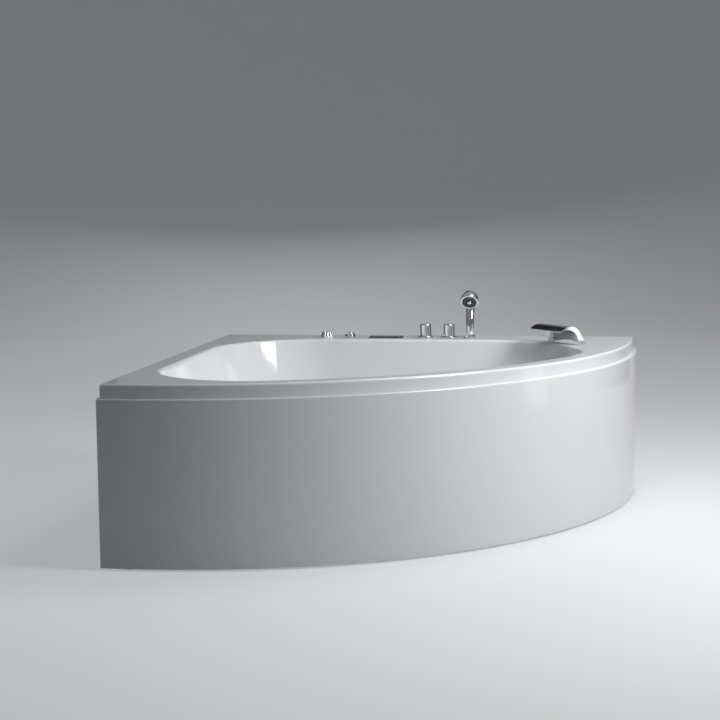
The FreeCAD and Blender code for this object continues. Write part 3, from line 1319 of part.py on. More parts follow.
DRAIN = stand(around(BASIN_R - mm.lean_front - mm.drain_inset, 45, FLOOR), UP, around(1, 45) - around(0, 45))
holes.append(rod(mm.drain_tube_r + mm.fit, DRAIN, -mm.shell_wall - mm.overrun, mm.overrun))


def drain_flange():
    """A flanged tube with a spider inside that guides the stopper's stem."""
    ring = turned("drain_ring", [
        ("drain_bore_r", "0"), ("drain_tube_r", "0"), ("drain_tube_r", "drain_tube"),
        ("drain_flange_r", "drain_tube"),
        ("drain_flange_r - drain_flange_thick", "drain_tube + drain_flange_thick"),
        ("drain_bore_r", "drain_tube + drain_flange_thick")])
    spot = mm.drain_tube - mm.spider_drop
    parts = [ring, cylinder("spider_hub", "spider_hub_r", "spider_thick", level(spot))]
    for k in range(2):
        turn = Rotation(UP, 90 * k)
        start = turn.multVec(Vector(-mm.drain_bore_r - mm.waste_wall / 4, -mm.spider_thick / 2, spot))
        parts.append(box("spider_arm_%d" % k,
                         ("2 * drain_bore_r + waste_wall / 2", "spider_thick", "spider_thick"),
                         Placement(start, turn)))
    guide = cylinder("spider_guide", "stem_r + running_fit", "drain_tube")
    return cut("drain_flange", joined("drain_solid", *parts), guide)


keep("drain_flange", drain_flange(), shift(DRAIN, z=-mm.drain_tube))
stopper = turned("drain_stopper", [
    ("0", "0"), ("stem_r", "0"), ("stem_r", "stem_length"), ("stopper_r", "stem_length"),
    ("stopper_r", "stem_length + stopper_thick"), ("0", "stem_length + stopper_thick + stopper_crown")])
keep("drain_stopper", stopper, shift(DRAIN, z=mm.drain_flange_thick + mm.seat_gap - mm.stem_length))

SIDE_IN = level(mm.overflow_run - FLOOR, turn=Z_TO_Y)
WASTE_TOP = -mm.shell_wall - mm.gasket_thick


def waste_body():
    """Flange, chamber and outlet tail, with a side socket for the overflow pipe and a boss for the cable."""
    low = mm.waste_end - FLOOR
    end = mm.tail_end - FLOOR
    solid = joined(
        "waste_solid",
        cylinder("waste_flange", "waste_flange_r", "waste_flange_thick",
                 level(WASTE_TOP - mm.waste_flange_thick)),
        cylinder("waste_chamber", "waste_r", "floor_level - shell_wall - gasket_thick - waste_end",
                 level(low)),
        cylinder("waste_tail", "tail_r", "waste_end + waste_wall - tail_end", level(end)),
        cylinder("waste_side", "socket_r", "waste_socket", SIDE_IN),
        cylinder("waste_boss", "cable_boss_r", "waste_socket", shift(SIDE_IN, x=mm.cable_offset)))
    return cut(
        "drain_body", solid,
        cylinder("waste_neck", "drain_tube_r + fit",
                 "drain_tube + fit - shell_wall - gasket_thick + overrun",
                 level(-mm.drain_tube - mm.fit)),
        cylinder("waste_room", "waste_r - waste_wall",
                 "floor_level - waste_end - waste_wall - drain_tube - fit",
                 level(low + mm.waste_wall)),
        cylinder("waste_bore", "tail_bore_r", "waste_end + 2 * waste_wall - tail_end + overrun",
                 level(end - mm.overrun)),
        cylinder("waste_seat", "overflow_pipe_r + running_fit", "waste_socket - waste_r + overrun",
                 shift(SIDE_IN, z=mm.waste_r)),
        cylinder("waste_way", "overflow_pipe_r - overflow_pipe_wall", "waste_socket", SIDE_IN))


keep("drain_body", waste_body(), DRAIN)

OVERFLOW = on_front_wall(45, DECK - mm.overflow_drop)
WALL_SAG = mm.rosette_r ** 2 / (2 * (BASIN_R - mm.lean_front)) + mm.running_fit
ROSETTE = shift(OVERFLOW, z=WALL_SAG)
hole(OVERFLOW, mm.rosette_barrel_r + mm.fit)


def rosette():
    """A flanged barrel through the wall, with arms that carry the knob's spindle."""
    ring = turned("rosette_ring", [
        ("rosette_bore_r", "0"), ("rosette_barrel_r", "0"),
        ("rosette_barrel_r", "rosette_barrel + overflow_gasket"),
        ("rosette_r", "rosette_barrel + overflow_gasket"),
        ("rosette_r - rosette_thick / 2", "rosette_barrel + overflow_gasket + rosette_thick"),
        ("rosette_bore_r", "rosette_barrel + overflow_gasket + rosette_thick")])
    parts = [ring, cylinder("rosette_hub", "spindle_hub_r", "rosette_barrel")]
    for k in range(3):
        turn = Rotation(UP, 120 * k)
        start = turn.multVec(Vector(0, -mm.rosette_thick / 2, 0))
        parts.append(box("rosette_arm_%d" % k,
                         ("rosette_bore_r + overflow_gasket", "rosette_thick", "rosette_barrel / 2"),
                         Placement(start, turn)))
    bore = cylinder("rosette_guide", "spindle_r + running_fit", "rosette_barrel + 2 * overrun",
                    level(-mm.overrun))
    return cut("overflow_rosette", joined("rosette_solid", *parts), bore)


def overflow_knob():
    """A thick disc on a spindle, with finger hollows round its edge."""
    level = "rosette_barrel + overflow_gasket + rosette_thick + overflow_gap"
    disc = turned("knob_disc", [
        ("0", "0"), ("spindle_r", "0"), ("spindle_r", level), ("overflow_knob_r", level),
        ("overflow_knob_r", level + " + overflow_knob_thick"), ("0", level + " + overflow_knob_thick")])
    grips = []
    for k in range(5):
        spot = Rotation(UP, 72 * k).multVec(Vector(mm.overflow_knob_r + mm.knob_grip_r / 2, 0,
                                                   mm.rosette_barrel))
        grips.append(cylinder("knob_grip_%d" % k, "knob_grip_r", "2 * rosette_barrel",
                              Placement(spot, Rotation())))
    return cut("overflow_knob", disc, loose("knob_grips", grips))


keep("overflow_rosette", rosette(), shift(ROSETTE, z=-mm.rosette_barrel))
keep("overflow_knob", overflow_knob(), shift(ROSETTE, z=-mm.rosette_barrel))

ELBOW_AXIS = OVERFLOW.multVec(Vector(0, 0, -mm.elbow_axis))
FRONT_SIDE = (around(1, 90) - around(1, 0)).normalize()
DOWN = stand(ELBOW_AXIS, UP * -1, around(1, 45) - around(0, 45))


def elbow():
    """The chamber behind the overflow, with a socket down to the pipe and a boss for the cable."""
    back = shift(OVERFLOW, z=-mm.elbow_depth)
    solid = joined(
        "elbow_solid",
        cylinder("elbow_rim", "elbow_flange_r", "elbow_flange",
                 shift(OVERFLOW, z=-mm.shell_wall - mm.elbow_flange)),
        cylinder("elbow_chamber", "elbow_r", "elbow_depth - shell_wall", back),
        cylinder("elbow_socket", "socket_r", "socket_length", DOWN),
        cylinder("elbow_boss", "cable_boss_r", "socket_length", shift(DOWN, x=mm.cable_offset)))
    return cut(
        "overflow_elbow", solid,
        cylinder("elbow_room", "elbow_bore_r", "elbow_depth - elbow_back + overrun",
                 shift(back, z=mm.elbow_back)),
        cylinder("elbow_seat", "overflow_pipe_r + running_fit", "socket_length - elbow_r - fit + overrun",
                 shift(DOWN, z=mm.elbow_r + mm.fit)),
        cylinder("elbow_way", "overflow_pipe_r - overflow_pipe_wall", "socket_length", DOWN))


keep("overflow_elbow", elbow())
PIPE_TOP = DOWN.multVec(Vector(0, 0, mm.elbow_r + 2 * mm.fit))
PIPE_FOOT = Vector(PIPE_TOP.x, PIPE_TOP.y, mm.overflow_run)
WASTE_IN = DRAIN.multiply(SIDE_IN)
piece("overflow_pipe", tube([PIPE_TOP, PIPE_FOOT, WASTE_IN.multVec(Vector(0, 0, mm.waste_r + mm.fit))],
                            mm.overflow_bend_r, mm.overflow_pipe_r,
                            mm.overflow_pipe_r - mm.overflow_pipe_wall))
CABLE_TOP = DOWN.multVec(Vector(mm.cable_offset, 0, mm.socket_length))
CABLE_SIDE = mm.cable_offset if (WASTE_IN.multVec(Vector(1, 0, 0)) - WASTE_IN.Base).dot(
    DOWN.multVec(Vector(1, 0, 0)) - DOWN.Base) > 0 else -mm.cable_offset
CABLE_END = WASTE_IN.multVec(Vector(CABLE_SIDE, 0, mm.waste_socket))
piece("drain_cable", bar([CABLE_TOP, Vector(CABLE_TOP.x, CABLE_TOP.y, mm.overflow_run), CABLE_END],
                         mm.cable_bend_r, mm.cable_r))

# Rubber rings: jets, waste and overflow

doc.recompute()
ring_shapes = [at(jet_gasket.Shape, place) for place in JETS]
ring_shapes.append(rod(mm.waste_flange_r, DRAIN, WASTE_TOP, -mm.shell_wall).cut(
    rod(mm.drain_tube_r + mm.fit, DRAIN, WASTE_TOP - mm.overrun, mm.overrun)))
ring_shapes.append(rod(mm.rosette_r - mm.rosette_thick / 2, ROSETTE, 0, mm.overflow_gasket).cut(
    rod(mm.rosette_barrel_r + mm.fit, ROSETTE, -mm.overrun, mm.overflow_gasket + mm.overrun)))
piece("gaskets", Part.makeCompound(ring_shapes))

# Frame: posts on the corner and along the front arc, rails between them, cross rails under the board

POST_TURNS = (0, 30, 60, 90)
POSTS = [stand(plan(CORE, CORE, RAIL_LOW))]
for turn in POST_TURNS:
    POSTS.append(Placement(around(POST_R, turn, RAIL_LOW), Rotation(UP, -turn)))


def square_bar(size, low, high):
    """A square bar along Z."""
    return Part.makeBox(size, size, high - low, Vector(-size / 2, -size / 2, low))


def post():
    """A square tube with a bottom plate, bored for the foot's stud and for the bracket's screw."""
    length = DECK_UNDER - RAIL_LOW
    edge = -mm.rail_size / 2
    bar_solid = box("post_solid", ("rail_size", "rail_size", length), level(0, x=edge, y=edge))
    room = box("post_room", ("rail_size - 2 * rail_wall", "rail_size - 2 * rail_wall", length),
               level(mm.post_cap, x=edge + mm.rail_wall, y=edge + mm.rail_wall))
    stud = cylinder("post_stud_hole", "stud_r + fit", "post_cap + 2 * overrun", level(-mm.overrun))
    screw = cylinder("post_screw_hole", "screw_r + fit", "rail_size", SCREW)
    return cut("post_source", bar_solid, room, stud, screw)


SCREW = stand(Vector(0, 0, mm.bracket_level - RAIL_LOW), Vector(1, 0, 0), UP)
group("frame_posts", post(), POSTS)


def rail(a, b):
    """A square tube from one point to another, both on the rails' middle line."""
    run = stand(a, b - a, UP)
    length = (b - a).Length
    return at(square_bar(mm.rail_size, 0, length), run), at(
        square_bar(mm.rail_size - 2 * mm.rail_wall, -mm.overrun, length + mm.overrun), run)


def frame_rails():
    """The ring of rails, and two cross rails, each ended on what it meets."""
    level = (RAIL_LOW + RAIL_TOP) / 2
    spots = [Vector(place.Base.x, place.Base.y, level) for place in POSTS]
    blocks = Part.makeCompound([at(square_bar(mm.rail_size, 0, 2 * mm.rail_size),
                                   place) for place in POSTS])
    solids = []
    walls = []
    for a, b in zip(spots, spots[1:] + spots[:1]):
        solid, hollow = rail(a, b)
        clear = solid.cut(Part.makeCompound([blocks] + walls))
        walls.append(solid)
        solids.append(max(clear.Solids, key=lambda part: part.Volume).cut(hollow))
    ring = Part.makeCompound(walls)
    for v in (mm.cross_first, mm.side / 2 - DRAIN.Base.y - mm.cross_gap):
        reach = CORE + math.sqrt(POST_R ** 2 - (v - CORE) ** 2)
        solid, hollow = rail(plan(CORE, v, level), plan(reach, v, level))
        inner = max(solid.cut(ring).Solids, key=lambda part: part.Volume)
        solids.append(inner.cut(hollow))
    return Part.makeCompound(solids)


piece("frame_rails", frame_rails())


def base_board():
    """A board under the flat of the basin floor, with a hole round the waste."""
    wire = basin_wire(FLOOR, -mm.board_inset)
    wire.translate(UP * (RAIL_TOP - FLOOR))
    board = Part.Face(wire).extrude(UP * mm.board_thick)
    return board.cut(rod(mm.waste_flange_r + mm.board_thick, DRAIN, -FLOOR, 0))


piece("base_board", base_board())

# Levelling feet under the posts

pad = turned("pad_source", [
    ("0", "0"), ("pad_r", "0"), ("pad_r", "pad_rim"), ("pad_neck_r", "pad_height"), ("0", "pad_height")])
group("foot_pads", pad, [Placement(Vector(p.Base.x, p.Base.y, 0), Rotation()) for p in POSTS])
STUD_LENGTH = RAIL_LOW + mm.stud_reach - mm.pad_height
stud_shape = Part.makeCylinder(mm.stud_r, STUD_LENGTH, Vector(0, 0, mm.pad_height - RAIL_LOW))
piece("foot_studs", Part.makeCompound([at(stud_shape, place) for place in POSTS]))
foot_nut = nut("foot_nut_source", "stud_r", "foot_nut_r", "foot_nut_thick")
group("foot_nuts", foot_nut, [shift(place, z=-mm.foot_nut_thick) for place in POSTS])

# Apron brackets: bent strips from the front posts to the apron, screwed to the posts

REACH = "(apron_step + rim_front / 2 - apron_wall - rail_size / 2)"
bracket = padded("bracket_source", [
    ("0", "0 - bracket_flange / 2"), ("bracket_thick", "0 - bracket_flange / 2"),
    ("bracket_thick", "bracket_flange / 2 - bracket_thick"), (REACH, "bracket_flange / 2 - bracket_thick"),
    (REACH, "bracket_flange * 3 / 2 - bracket_thick"),
    (REACH + " - bracket_thick", "bracket_flange * 3 / 2 - bracket_thick"),
    (REACH + " - bracket_thick", "bracket_flange / 2"), ("0", "bracket_flange / 2")], "bracket_height")
doc.recompute()
BRACKET = Placement(Vector(mm.rail_size / 2, 0, mm.bracket_level - RAIL_LOW - mm.bracket_height / 2),
                    Rotation())
bracket_shape = at(bracket.Shape, BRACKET).cut(rod(mm.screw_r + mm.fit, SCREW, 0, 2 * mm.rail_size))
screw_shape = rod(mm.screw_r, SCREW, mm.rail_size / 2 + mm.bracket_thick - mm.screw_grip,
                  mm.rail_size / 2 + mm.bracket_thick).fuse(
    rod(mm.screw_head_r, SCREW, mm.rail_size / 2 + mm.bracket_thick,
        mm.rail_size / 2 + mm.bracket_thick + mm.screw_head))
apron_panel = band(APRON_R, APRON_R - mm.apron_wall, 0, DECK)
piece("apron_brackets", Part.makeCompound([at(bracket_shape,
                                              place).cut(apron_panel) for place in POSTS[1:]]))
piece("apron_screws", Part.makeCompound([at(screw_shape, place) for place in POSTS[1:]]))

# Front apron: a curved panel with a ledge under the skirt and a turned-in hem


def front_apron():
    top = DECK - mm.skirt_height
    panel_band = band(APRON_R, APRON_R - mm.apron_wall, mm.apron_foot, top)
    ledge = band(APRON_R, APRON_R - mm.apron_ledge, top - mm.apron_wall, top)
    hem = band(APRON_R, APRON_R - mm.apron_hem, mm.apron_foot, mm.apron_foot + mm.apron_wall)
    solid = panel_band.multiFuse([ledge, hem]).removeSplitter()
    edges = [edge for edge in solid.Edges
             if edge.BoundBox.ZMin > top - TINY and on_line(edge, quarter_edges(APRON_R, 0, top))]
    return solid.makeFillet(mm.apron_edge_r, edges)


def on_line(edge, line):
    """Whether an edge lies on one of the edges of a line."""
    middle = Part.Vertex(edge.valueAt((edge.FirstParameter + edge.LastParameter) / 2))
    return min(item.distToShape(middle)[0] for item in line) < TINY


piece("front_apron", front_apron())

# Shell: the rim with its skirt, and the basin pressed down through it

def basin_solid(grow, top, bottom, bend):
    """The basin as a solid, its walls leaning in and its bottom edge bent."""
    solid = Part.makeLoft([basin_wire(top, grow), basin_wire(bottom, grow)], True, True)
    edges = [edge for edge in solid.Edges if edge.BoundBox.ZMax < bottom + TINY]
    return solid.makeFillet(bend, edges)


def rim():
    low = DECK - mm.skirt_height
    solid = Part.Face(quarter_wire(RIM_R, mm.rim_gap, low)).extrude(UP * mm.skirt_height)
    solid = solid.makeFillet(mm.deck_edge_r,
                             [edge for edge in solid.Edges if edge.BoundBox.ZMin > DECK - TINY])
    wall = mm.shell_wall
    hollow = Part.Face(quarter_wire(RIM_R - wall, mm.rim_gap + wall, low - mm.overrun))
    return solid.cut(hollow.extrude(UP * (mm.skirt_height - wall + mm.overrun)))


def tub_shell():
    wall = mm.shell_wall
    solid = rim().fuse(basin_solid(wall, DECK - wall / 2, FLOOR_UNDER, mm.floor_bend_r + wall))
    solid = solid.cut(basin_solid(0.0, DECK + mm.overrun, FLOOR, mm.floor_bend_r))
    line = basin_wire(DECK).Edges
    edges = [edge for edge in solid.Edges if edge.BoundBox.ZMin > DECK - TINY and on_line(edge, line)]
    solid = solid.makeFillet(mm.rim_edge_r, edges)
    return solid.cut(Part.makeCompound(holes))


piece("tub_shell", tub_shell())

# Check every object, then write each piece

doc.recompute()
failed = [item.Name for item in doc.Objects if {"Invalid", "Error"} & set(item.State)]
for name, item in nodes.items():
    if item.Shape.isNull() or not item.Shape.isValid() or not item.Shape.Solids:
        failed.append(name)
if failed:
    raise RuntimeError("failed: " + ", ".join(failed))
os.makedirs("parts", exist_ok=True)
for name, item in nodes.items():
    item.Shape.exportStep("parts/%s.step" % name)
print(len(nodes), "pieces")
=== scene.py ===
# %% [markdown]
# # A jetted corner bath, dressed in Blender
# The bath arrives as a finished set of solids: shell, apron, frame, pump, pipes and taps, each one where it
# belongs. In this lesson they get their finishes, and the small things that a solid model leaves out: spray
# nozzles, clips, ring nuts and screws. The shower hose, the hand shower and the jet nozzles are made anew, because
# they need more form than their solids have. We start by loading the solids.

# %% Load the solids
import json
import math

import bpy
from mathutils import Matrix, Vector


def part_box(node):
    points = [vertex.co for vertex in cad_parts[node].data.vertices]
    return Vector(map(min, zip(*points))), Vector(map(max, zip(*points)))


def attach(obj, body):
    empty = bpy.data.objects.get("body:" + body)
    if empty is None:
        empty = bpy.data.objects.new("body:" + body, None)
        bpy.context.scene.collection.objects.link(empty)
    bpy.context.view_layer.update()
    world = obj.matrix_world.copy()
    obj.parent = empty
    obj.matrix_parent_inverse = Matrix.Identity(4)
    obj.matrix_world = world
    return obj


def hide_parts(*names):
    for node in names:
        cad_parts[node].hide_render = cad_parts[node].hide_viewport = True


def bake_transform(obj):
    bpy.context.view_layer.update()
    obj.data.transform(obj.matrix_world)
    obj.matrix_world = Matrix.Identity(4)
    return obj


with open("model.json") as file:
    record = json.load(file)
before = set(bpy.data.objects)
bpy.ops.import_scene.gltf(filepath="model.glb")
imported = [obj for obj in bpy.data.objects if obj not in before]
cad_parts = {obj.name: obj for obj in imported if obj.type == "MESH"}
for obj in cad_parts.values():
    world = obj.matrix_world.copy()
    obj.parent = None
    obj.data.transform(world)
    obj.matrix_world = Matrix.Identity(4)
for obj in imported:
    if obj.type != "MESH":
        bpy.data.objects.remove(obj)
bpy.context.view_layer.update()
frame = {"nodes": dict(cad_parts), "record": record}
nodes = frame["nodes"]

# %% [markdown]
# ## Camera
# A photographer would stand about five metres in front of the bath with a short telephoto lens, a little above
# the rim. Place, turn and lens were fitted to the outline of the rim and the apron. A camera looks along its own
# minus Z, so we work out the three directions from a yaw, a pitch and a small roll, and make them the columns of
# its turning matrix.

# %% Camera
camera_place, lens_mm, sensor_mm = (0.7504, -5.1814, 1.1121), 81.61, 36.0
yaw, pitch, roll = (math.radians(angle) for angle in (9.569, 6.312, -0.614))
ahead = Vector((-math.sin(yaw) * math.cos(pitch), math.cos(yaw) * math.cos(pitch), -math.sin(pitch)))
level_right = Vector((math.cos(yaw), math.sin(yaw), 0.0))
level_up = level_right.cross(ahead)
right = level_right * math.cos(roll) + level_up * math.sin(roll)
upward = level_up * math.cos(roll) - level_right * math.sin(roll)
bpy.ops.object.camera_add(location=camera_place)
camera = bpy.context.object
camera.name = "front_camera"
camera.rotation_euler = Matrix((right, upward, -ahead)).transposed().to_euler()
camera.data.sensor_width = sensor_mm
camera.data.lens = lens_mm
bpy.context.scene.camera = camera
print("camera at", [round(c, 2) for c in camera.location], "lens", camera.data.lens)

# %% [markdown]
# ## Shower hose, the line
# Under the deck the hand shower's hose hangs in a loop: down from the cone that the handset sits on, round, and
# up again to the diverter. A hose finds its own bends, so its line is a NURBS spline, and we only give the points
# that pull it. The loop belly is a little wider than the two ends, as in a springy metal hose. We let Blender turn
# the bare curve into a mesh, and read the points of the smooth line back from that.

# %% Shower hose, the line
cone_x, diverter_x, hose_y = 0.168, 0.048, 0.6695
cone_end, diverter_end, bend_start, loop_low, belly = 0.508, 0.422, 0.29, 0.145, 0.010
hose_pulls = [(cone_x, cone_end), (cone_x, bend_start), (cone_x + belly, loop_low),
              (diverter_x - belly, loop_low), (diverter_x, bend_start), (diverter_x, diverter_end)]
hose_curve = bpy.data.curves.new("hose_line", "CURVE")
hose_curve.dimensions = "3D"
spline = hose_curve.splines.new("NURBS")
spline.points.add(len(hose_pulls) - 1)
for point, (x, z) in zip(spline.points, hose_pulls):
    point.co = (x, hose_y, z, 1.0)
spline.order_u = 3
spline.use_endpoint_u = True
spline.resolution_u = 24
hose_carrier = bpy.data.objects.new("hose_line", hose_curve)
bpy.context.scene.collection.objects.link(hose_carrier)
hose_line = [v.co.copy() for v in bpy.data.meshes.new_from_object(hose_carrier).vertices]
bpy.data.objects.remove(hose_carrier)

# %% [markdown]
# ## Shower hose, the ribs
# The hose is a steel strip wound into a ribbed tube. A swept circle would look like a garden hose, so we walk along
# the line in even steps and set a ring of points at each one, wide on a rib and narrower between two ribs. Rings
# and end caps are joined into one closed skin.

# %% Shower hose, the ribs
def walk(line, step):
    """Points and directions at even steps along a line."""
    spots, left = [], 0.0
    for a, b in zip(line, line[1:]):
        run = (b - a).length
        while left <= run:
            spots.append((a.lerp(b, left / run), (b - a).normalized()))
            left += step
        left -= run
    return spots


def skin_from_rings(name, rings):
    """A closed mesh through rings of equal count, with a cap on each end."""
    count = len(rings[0])
    points = [p for ring in rings for p in ring]
    faces = [list(range(count))[::-1], [len(points) - count + k for k in range(count)]]
    for r in range(len(rings) - 1):
        for k in range(count):
            a, b = r * count + k, r * count + (k + 1) % count
            faces.append((a, b, b + count, a + count))
    mesh = bpy.data.meshes.new(name)
    mesh.from_pydata(points, [], faces)
    piece = bpy.data.objects.new(name, mesh)
    bpy.context.scene.collection.objects.link(piece)
    return piece


hose_sides, rib_pitch, rib_radius, groove_radius = 18, 0.0036, 0.007, 0.0062
turns = [2 * math.pi * k / hose_sides for k in range(hose_sides)]
hose_rings = []
for number, (spot, along) in enumerate(walk(hose_line, rib_pitch / 2)):
    across = along.cross(Vector((0.0, 1.0, 0.0)))
    radius = rib_radius if number % 2 else groove_radius
    hose_rings.append([spot + across * radius * math.cos(t) + Vector((0.0, radius * math.sin(t), 0.0))
                       for t in turns])
hose = skin_from_rings("ribbed_hose", hose_rings)
print("hose rings:", len(hose_rings), "faces:", len(hose.data.polygons))

# %% [markdown]
# ## Shower hose, what it is
# The hose has to stay a hose when the part is used: one end stays at the diverter, the other goes up with the hand
# shower. Here it is shaded smooth, its line is walked in even steps into a path of points, and the solid hose that
# it stands for is hidden.

# %% Shower hose, what it is
def only(piece):
    """Select one piece alone, so that an operator changes nothing else."""
    bpy.ops.object.select_all(action="DESELECT")
    piece.select_set(True)
    bpy.context.view_layer.objects.active = piece


only(hose)
bpy.ops.object.shade_smooth()
path_step = 0.008
hose_path = [spot for spot, along in walk(hose_line, path_step)] + [hose_line[-1]]
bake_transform(hose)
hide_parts("shower_hose")
print("declared:", hose.name)

# %% [markdown]
# ## What all finishes share
# Nothing real has one colour and one gloss all over. Polish, handling and the mould leave a slow change over a
# hand's width and a fine one that only shows in reflections. Both are noise, read from Object coordinates so that
# they stay put on the piece. As every finish needs them, they go into one node group with its scales as inputs.

# %% Surface play, a node group
def new_group(name, inputs, outputs):
    """An empty shader group with its sockets, its entry and its exit."""
    group = bpy.data.node_groups.new(name, "ShaderNodeTree")
    for title, kind, value in inputs:
        group.interface.new_socket(title, in_out="INPUT", socket_type=kind).default_value = value
    for title in outputs:
        group.interface.new_socket(title, in_out="OUTPUT", socket_type="NodeSocketFloat")
    return group, group.nodes.new("NodeGroupInput"), group.nodes.new("NodeGroupOutput")


surface_play, entry, leave = new_group(
    "surface_play",
    [("Fine Scale", "NodeSocketFloat", 400.0), ("Broad Scale", "NodeSocketFloat", 5.0),
     ("Stretch", "NodeSocketVector", (1.0, 1.0, 1.0))],
    ["Fine", "Broad"])
place = surface_play.nodes.new("ShaderNodeTexCoord")
stretch = surface_play.nodes.new("ShaderNodeVectorMath")
stretch.operation = "MULTIPLY"
surface_play.links.new(place.outputs["Object"], stretch.inputs[0])
surface_play.links.new(entry.outputs["Stretch"], stretch.inputs[1])
for title, detail in (("Fine", 4.0), ("Broad", 2.0)):
    noise = surface_play.nodes.new("ShaderNodeTexNoise")
    noise.inputs["Detail"].default_value = detail
    surface_play.links.new(stretch.outputs["Vector"], noise.inputs["Vector"])
    surface_play.links.new(entry.outputs[title + " Scale"], noise.inputs["Scale"])
    surface_play.links.new(noise.outputs["Fac"], leave.inputs[title])
print("group:", surface_play.name, len(surface_play.nodes), "nodes")

# %% [markdown]
# ## A finish from two colours
# The helper below makes a whole material: the slow noise wanders between two near colours and between two levels
# of gloss, and the fine noise feeds a bump. What is the same all over, such as metal or not, is set on the shader
# itself. A Mix node has sockets for every kind of value, so those for colours and for plain values are told apart by
# their number.

# %% A finish from two colours
COLOUR_A, COLOUR_B, COLOUR_OUT = 6, 7, 2
VALUE_A, VALUE_B = 2, 3
BUMP_DEPTH = 0.0004


def finish(name, pale, deep, gloss, fine=400.0, broad=5.0, bump=0.05, stretch=(1.0, 1.0, 1.0), plain=()):
    """A material with wandering colour and gloss and a fine bump; fine and broad are the scales of the two noises."""
    material = bpy.data.materials.new(name)
    material.use_nodes = True
    tree = material.node_tree
    shader = tree.nodes["Principled BSDF"]
    for socket, value in plain:
        shader.inputs[socket].default_value = value
    play = tree.nodes.new("ShaderNodeGroup")
    play.name = "play"
    play.node_tree = surface_play
    play.inputs["Fine Scale"].default_value = fine
    play.inputs["Broad Scale"].default_value = broad
    play.inputs["Stretch"].default_value = stretch
    colour = tree.nodes.new("ShaderNodeMix")
    colour.name = "colour"
    colour.data_type = "RGBA"
    colour.inputs[COLOUR_A].default_value = (*pale, 1.0)
    colour.inputs[COLOUR_B].default_value = (*deep, 1.0)
    tree.links.new(play.outputs["Broad"], colour.inputs[0])
    tree.links.new(colour.outputs[COLOUR_OUT], shader.inputs["Base Color"])
    sheen = tree.nodes.new("ShaderNodeMapRange")
    sheen.name = "sheen"
    for socket, value in zip(("From Min", "From Max", "To Min", "To Max"), (0.35, 0.65, *gloss)):
        sheen.inputs[socket].default_value = value
    tree.links.new(play.outputs["Broad"], sheen.inputs["Value"])
    tree.links.new(sheen.outputs["Result"], shader.inputs["Roughness"])
    relief = tree.nodes.new("ShaderNodeBump")
    relief.name = "relief"
    relief.inputs["Strength"].default_value = bump
    relief.inputs["Distance"].default_value = BUMP_DEPTH
    tree.links.new(play.outputs["Fine"], relief.inputs["Height"])
    tree.links.new(relief.outputs["Normal"], shader.inputs["Normal"])
    return material


METAL = (("Metallic", 1.0),)
chrome = finish("mirror_chrome", (0.80, 0.81, 0.82), (0.72, 0.735, 0.75), (0.03, 0.09), 900.0, 24.0, 0.012,
                plain=METAL)
brass = finish("cast_brass", (0.70, 0.50, 0.20), (0.52, 0.35, 0.12), (0.22, 0.38), 700.0, 30.0, 0.12, plain=METAL)
steel = finish("ground_steel", (0.56, 0.57, 0.59), (0.44, 0.45, 0.47), (0.18, 0.30), 500.0, 20.0, 0.06,
               (8.0, 1.0, 1.0), METAL)
print("metals:", chrome.name, brass.name, steel.name)

# %% [markdown]
# ## Plastics and rubber
# Pipes and bodies are moulded, the pump is glass-filled black, seals and foot pads are rubber. They differ in colour,
# in gloss and in how coarse the mould's skin is, so each is one line with its own numbers.

# %% Plastics and rubber
pipe_white = finish("moulded_white", (0.78, 0.79, 0.78), (0.70, 0.71, 0.70), (0.30, 0.46), 900.0, 12.0, 0.10)
nozzle_grey = finish("nozzle_grey", (0.60, 0.62, 0.64), (0.52, 0.54, 0.56), (0.14, 0.24), 800.0, 30.0, 0.04)
spray_dark = finish("spray_plate", (0.085, 0.095, 0.105), (0.055, 0.062, 0.07), (0.12, 0.22), 800.0, 60.0, 0.05)
pump_black = finish("glass_filled_black", (0.045, 0.046, 0.048), (0.028, 0.029, 0.031), (0.34, 0.5), 700.0, 18.0,
                    0.22)
seal_black = finish("seal_rubber", (0.030, 0.030, 0.031), (0.018, 0.018, 0.019), (0.55, 0.72), 600.0, 25.0, 0.12)
pad_rubber = finish("pad_rubber", (0.050, 0.049, 0.048), (0.028, 0.028, 0.027), (0.6, 0.8), 380.0, 25.0, 0.25)
sheath = finish("lead_sheath", (0.065, 0.066, 0.07), (0.045, 0.046, 0.048), (0.38, 0.5), 500.0, 40.0, 0.08)
motor_paint = finish("motor_paint", (0.30, 0.315, 0.335), (0.24, 0.255, 0.275), (0.30, 0.46), 420.0, 14.0, 0.3)
panel_glass = finish("panel_glass", (0.012, 0.013, 0.016), (0.008, 0.009, 0.011), (0.03, 0.12), 900.0, 18.0, 0.01,
                     plain=(("IOR", 1.52),))
print("plastics:", pipe_white.name, pump_black.name, panel_glass.name)

# %% [markdown]
# ## Zinc and board
# Zinc sets in crystals, and chipboard is pressed from flakes: both are cells with a tone of their own. A Voronoi
# pattern gives every cell a random colour, of which we keep one channel as the tone. The group serves both, large
# and flat on the steel tube, small and drawn out on the board.

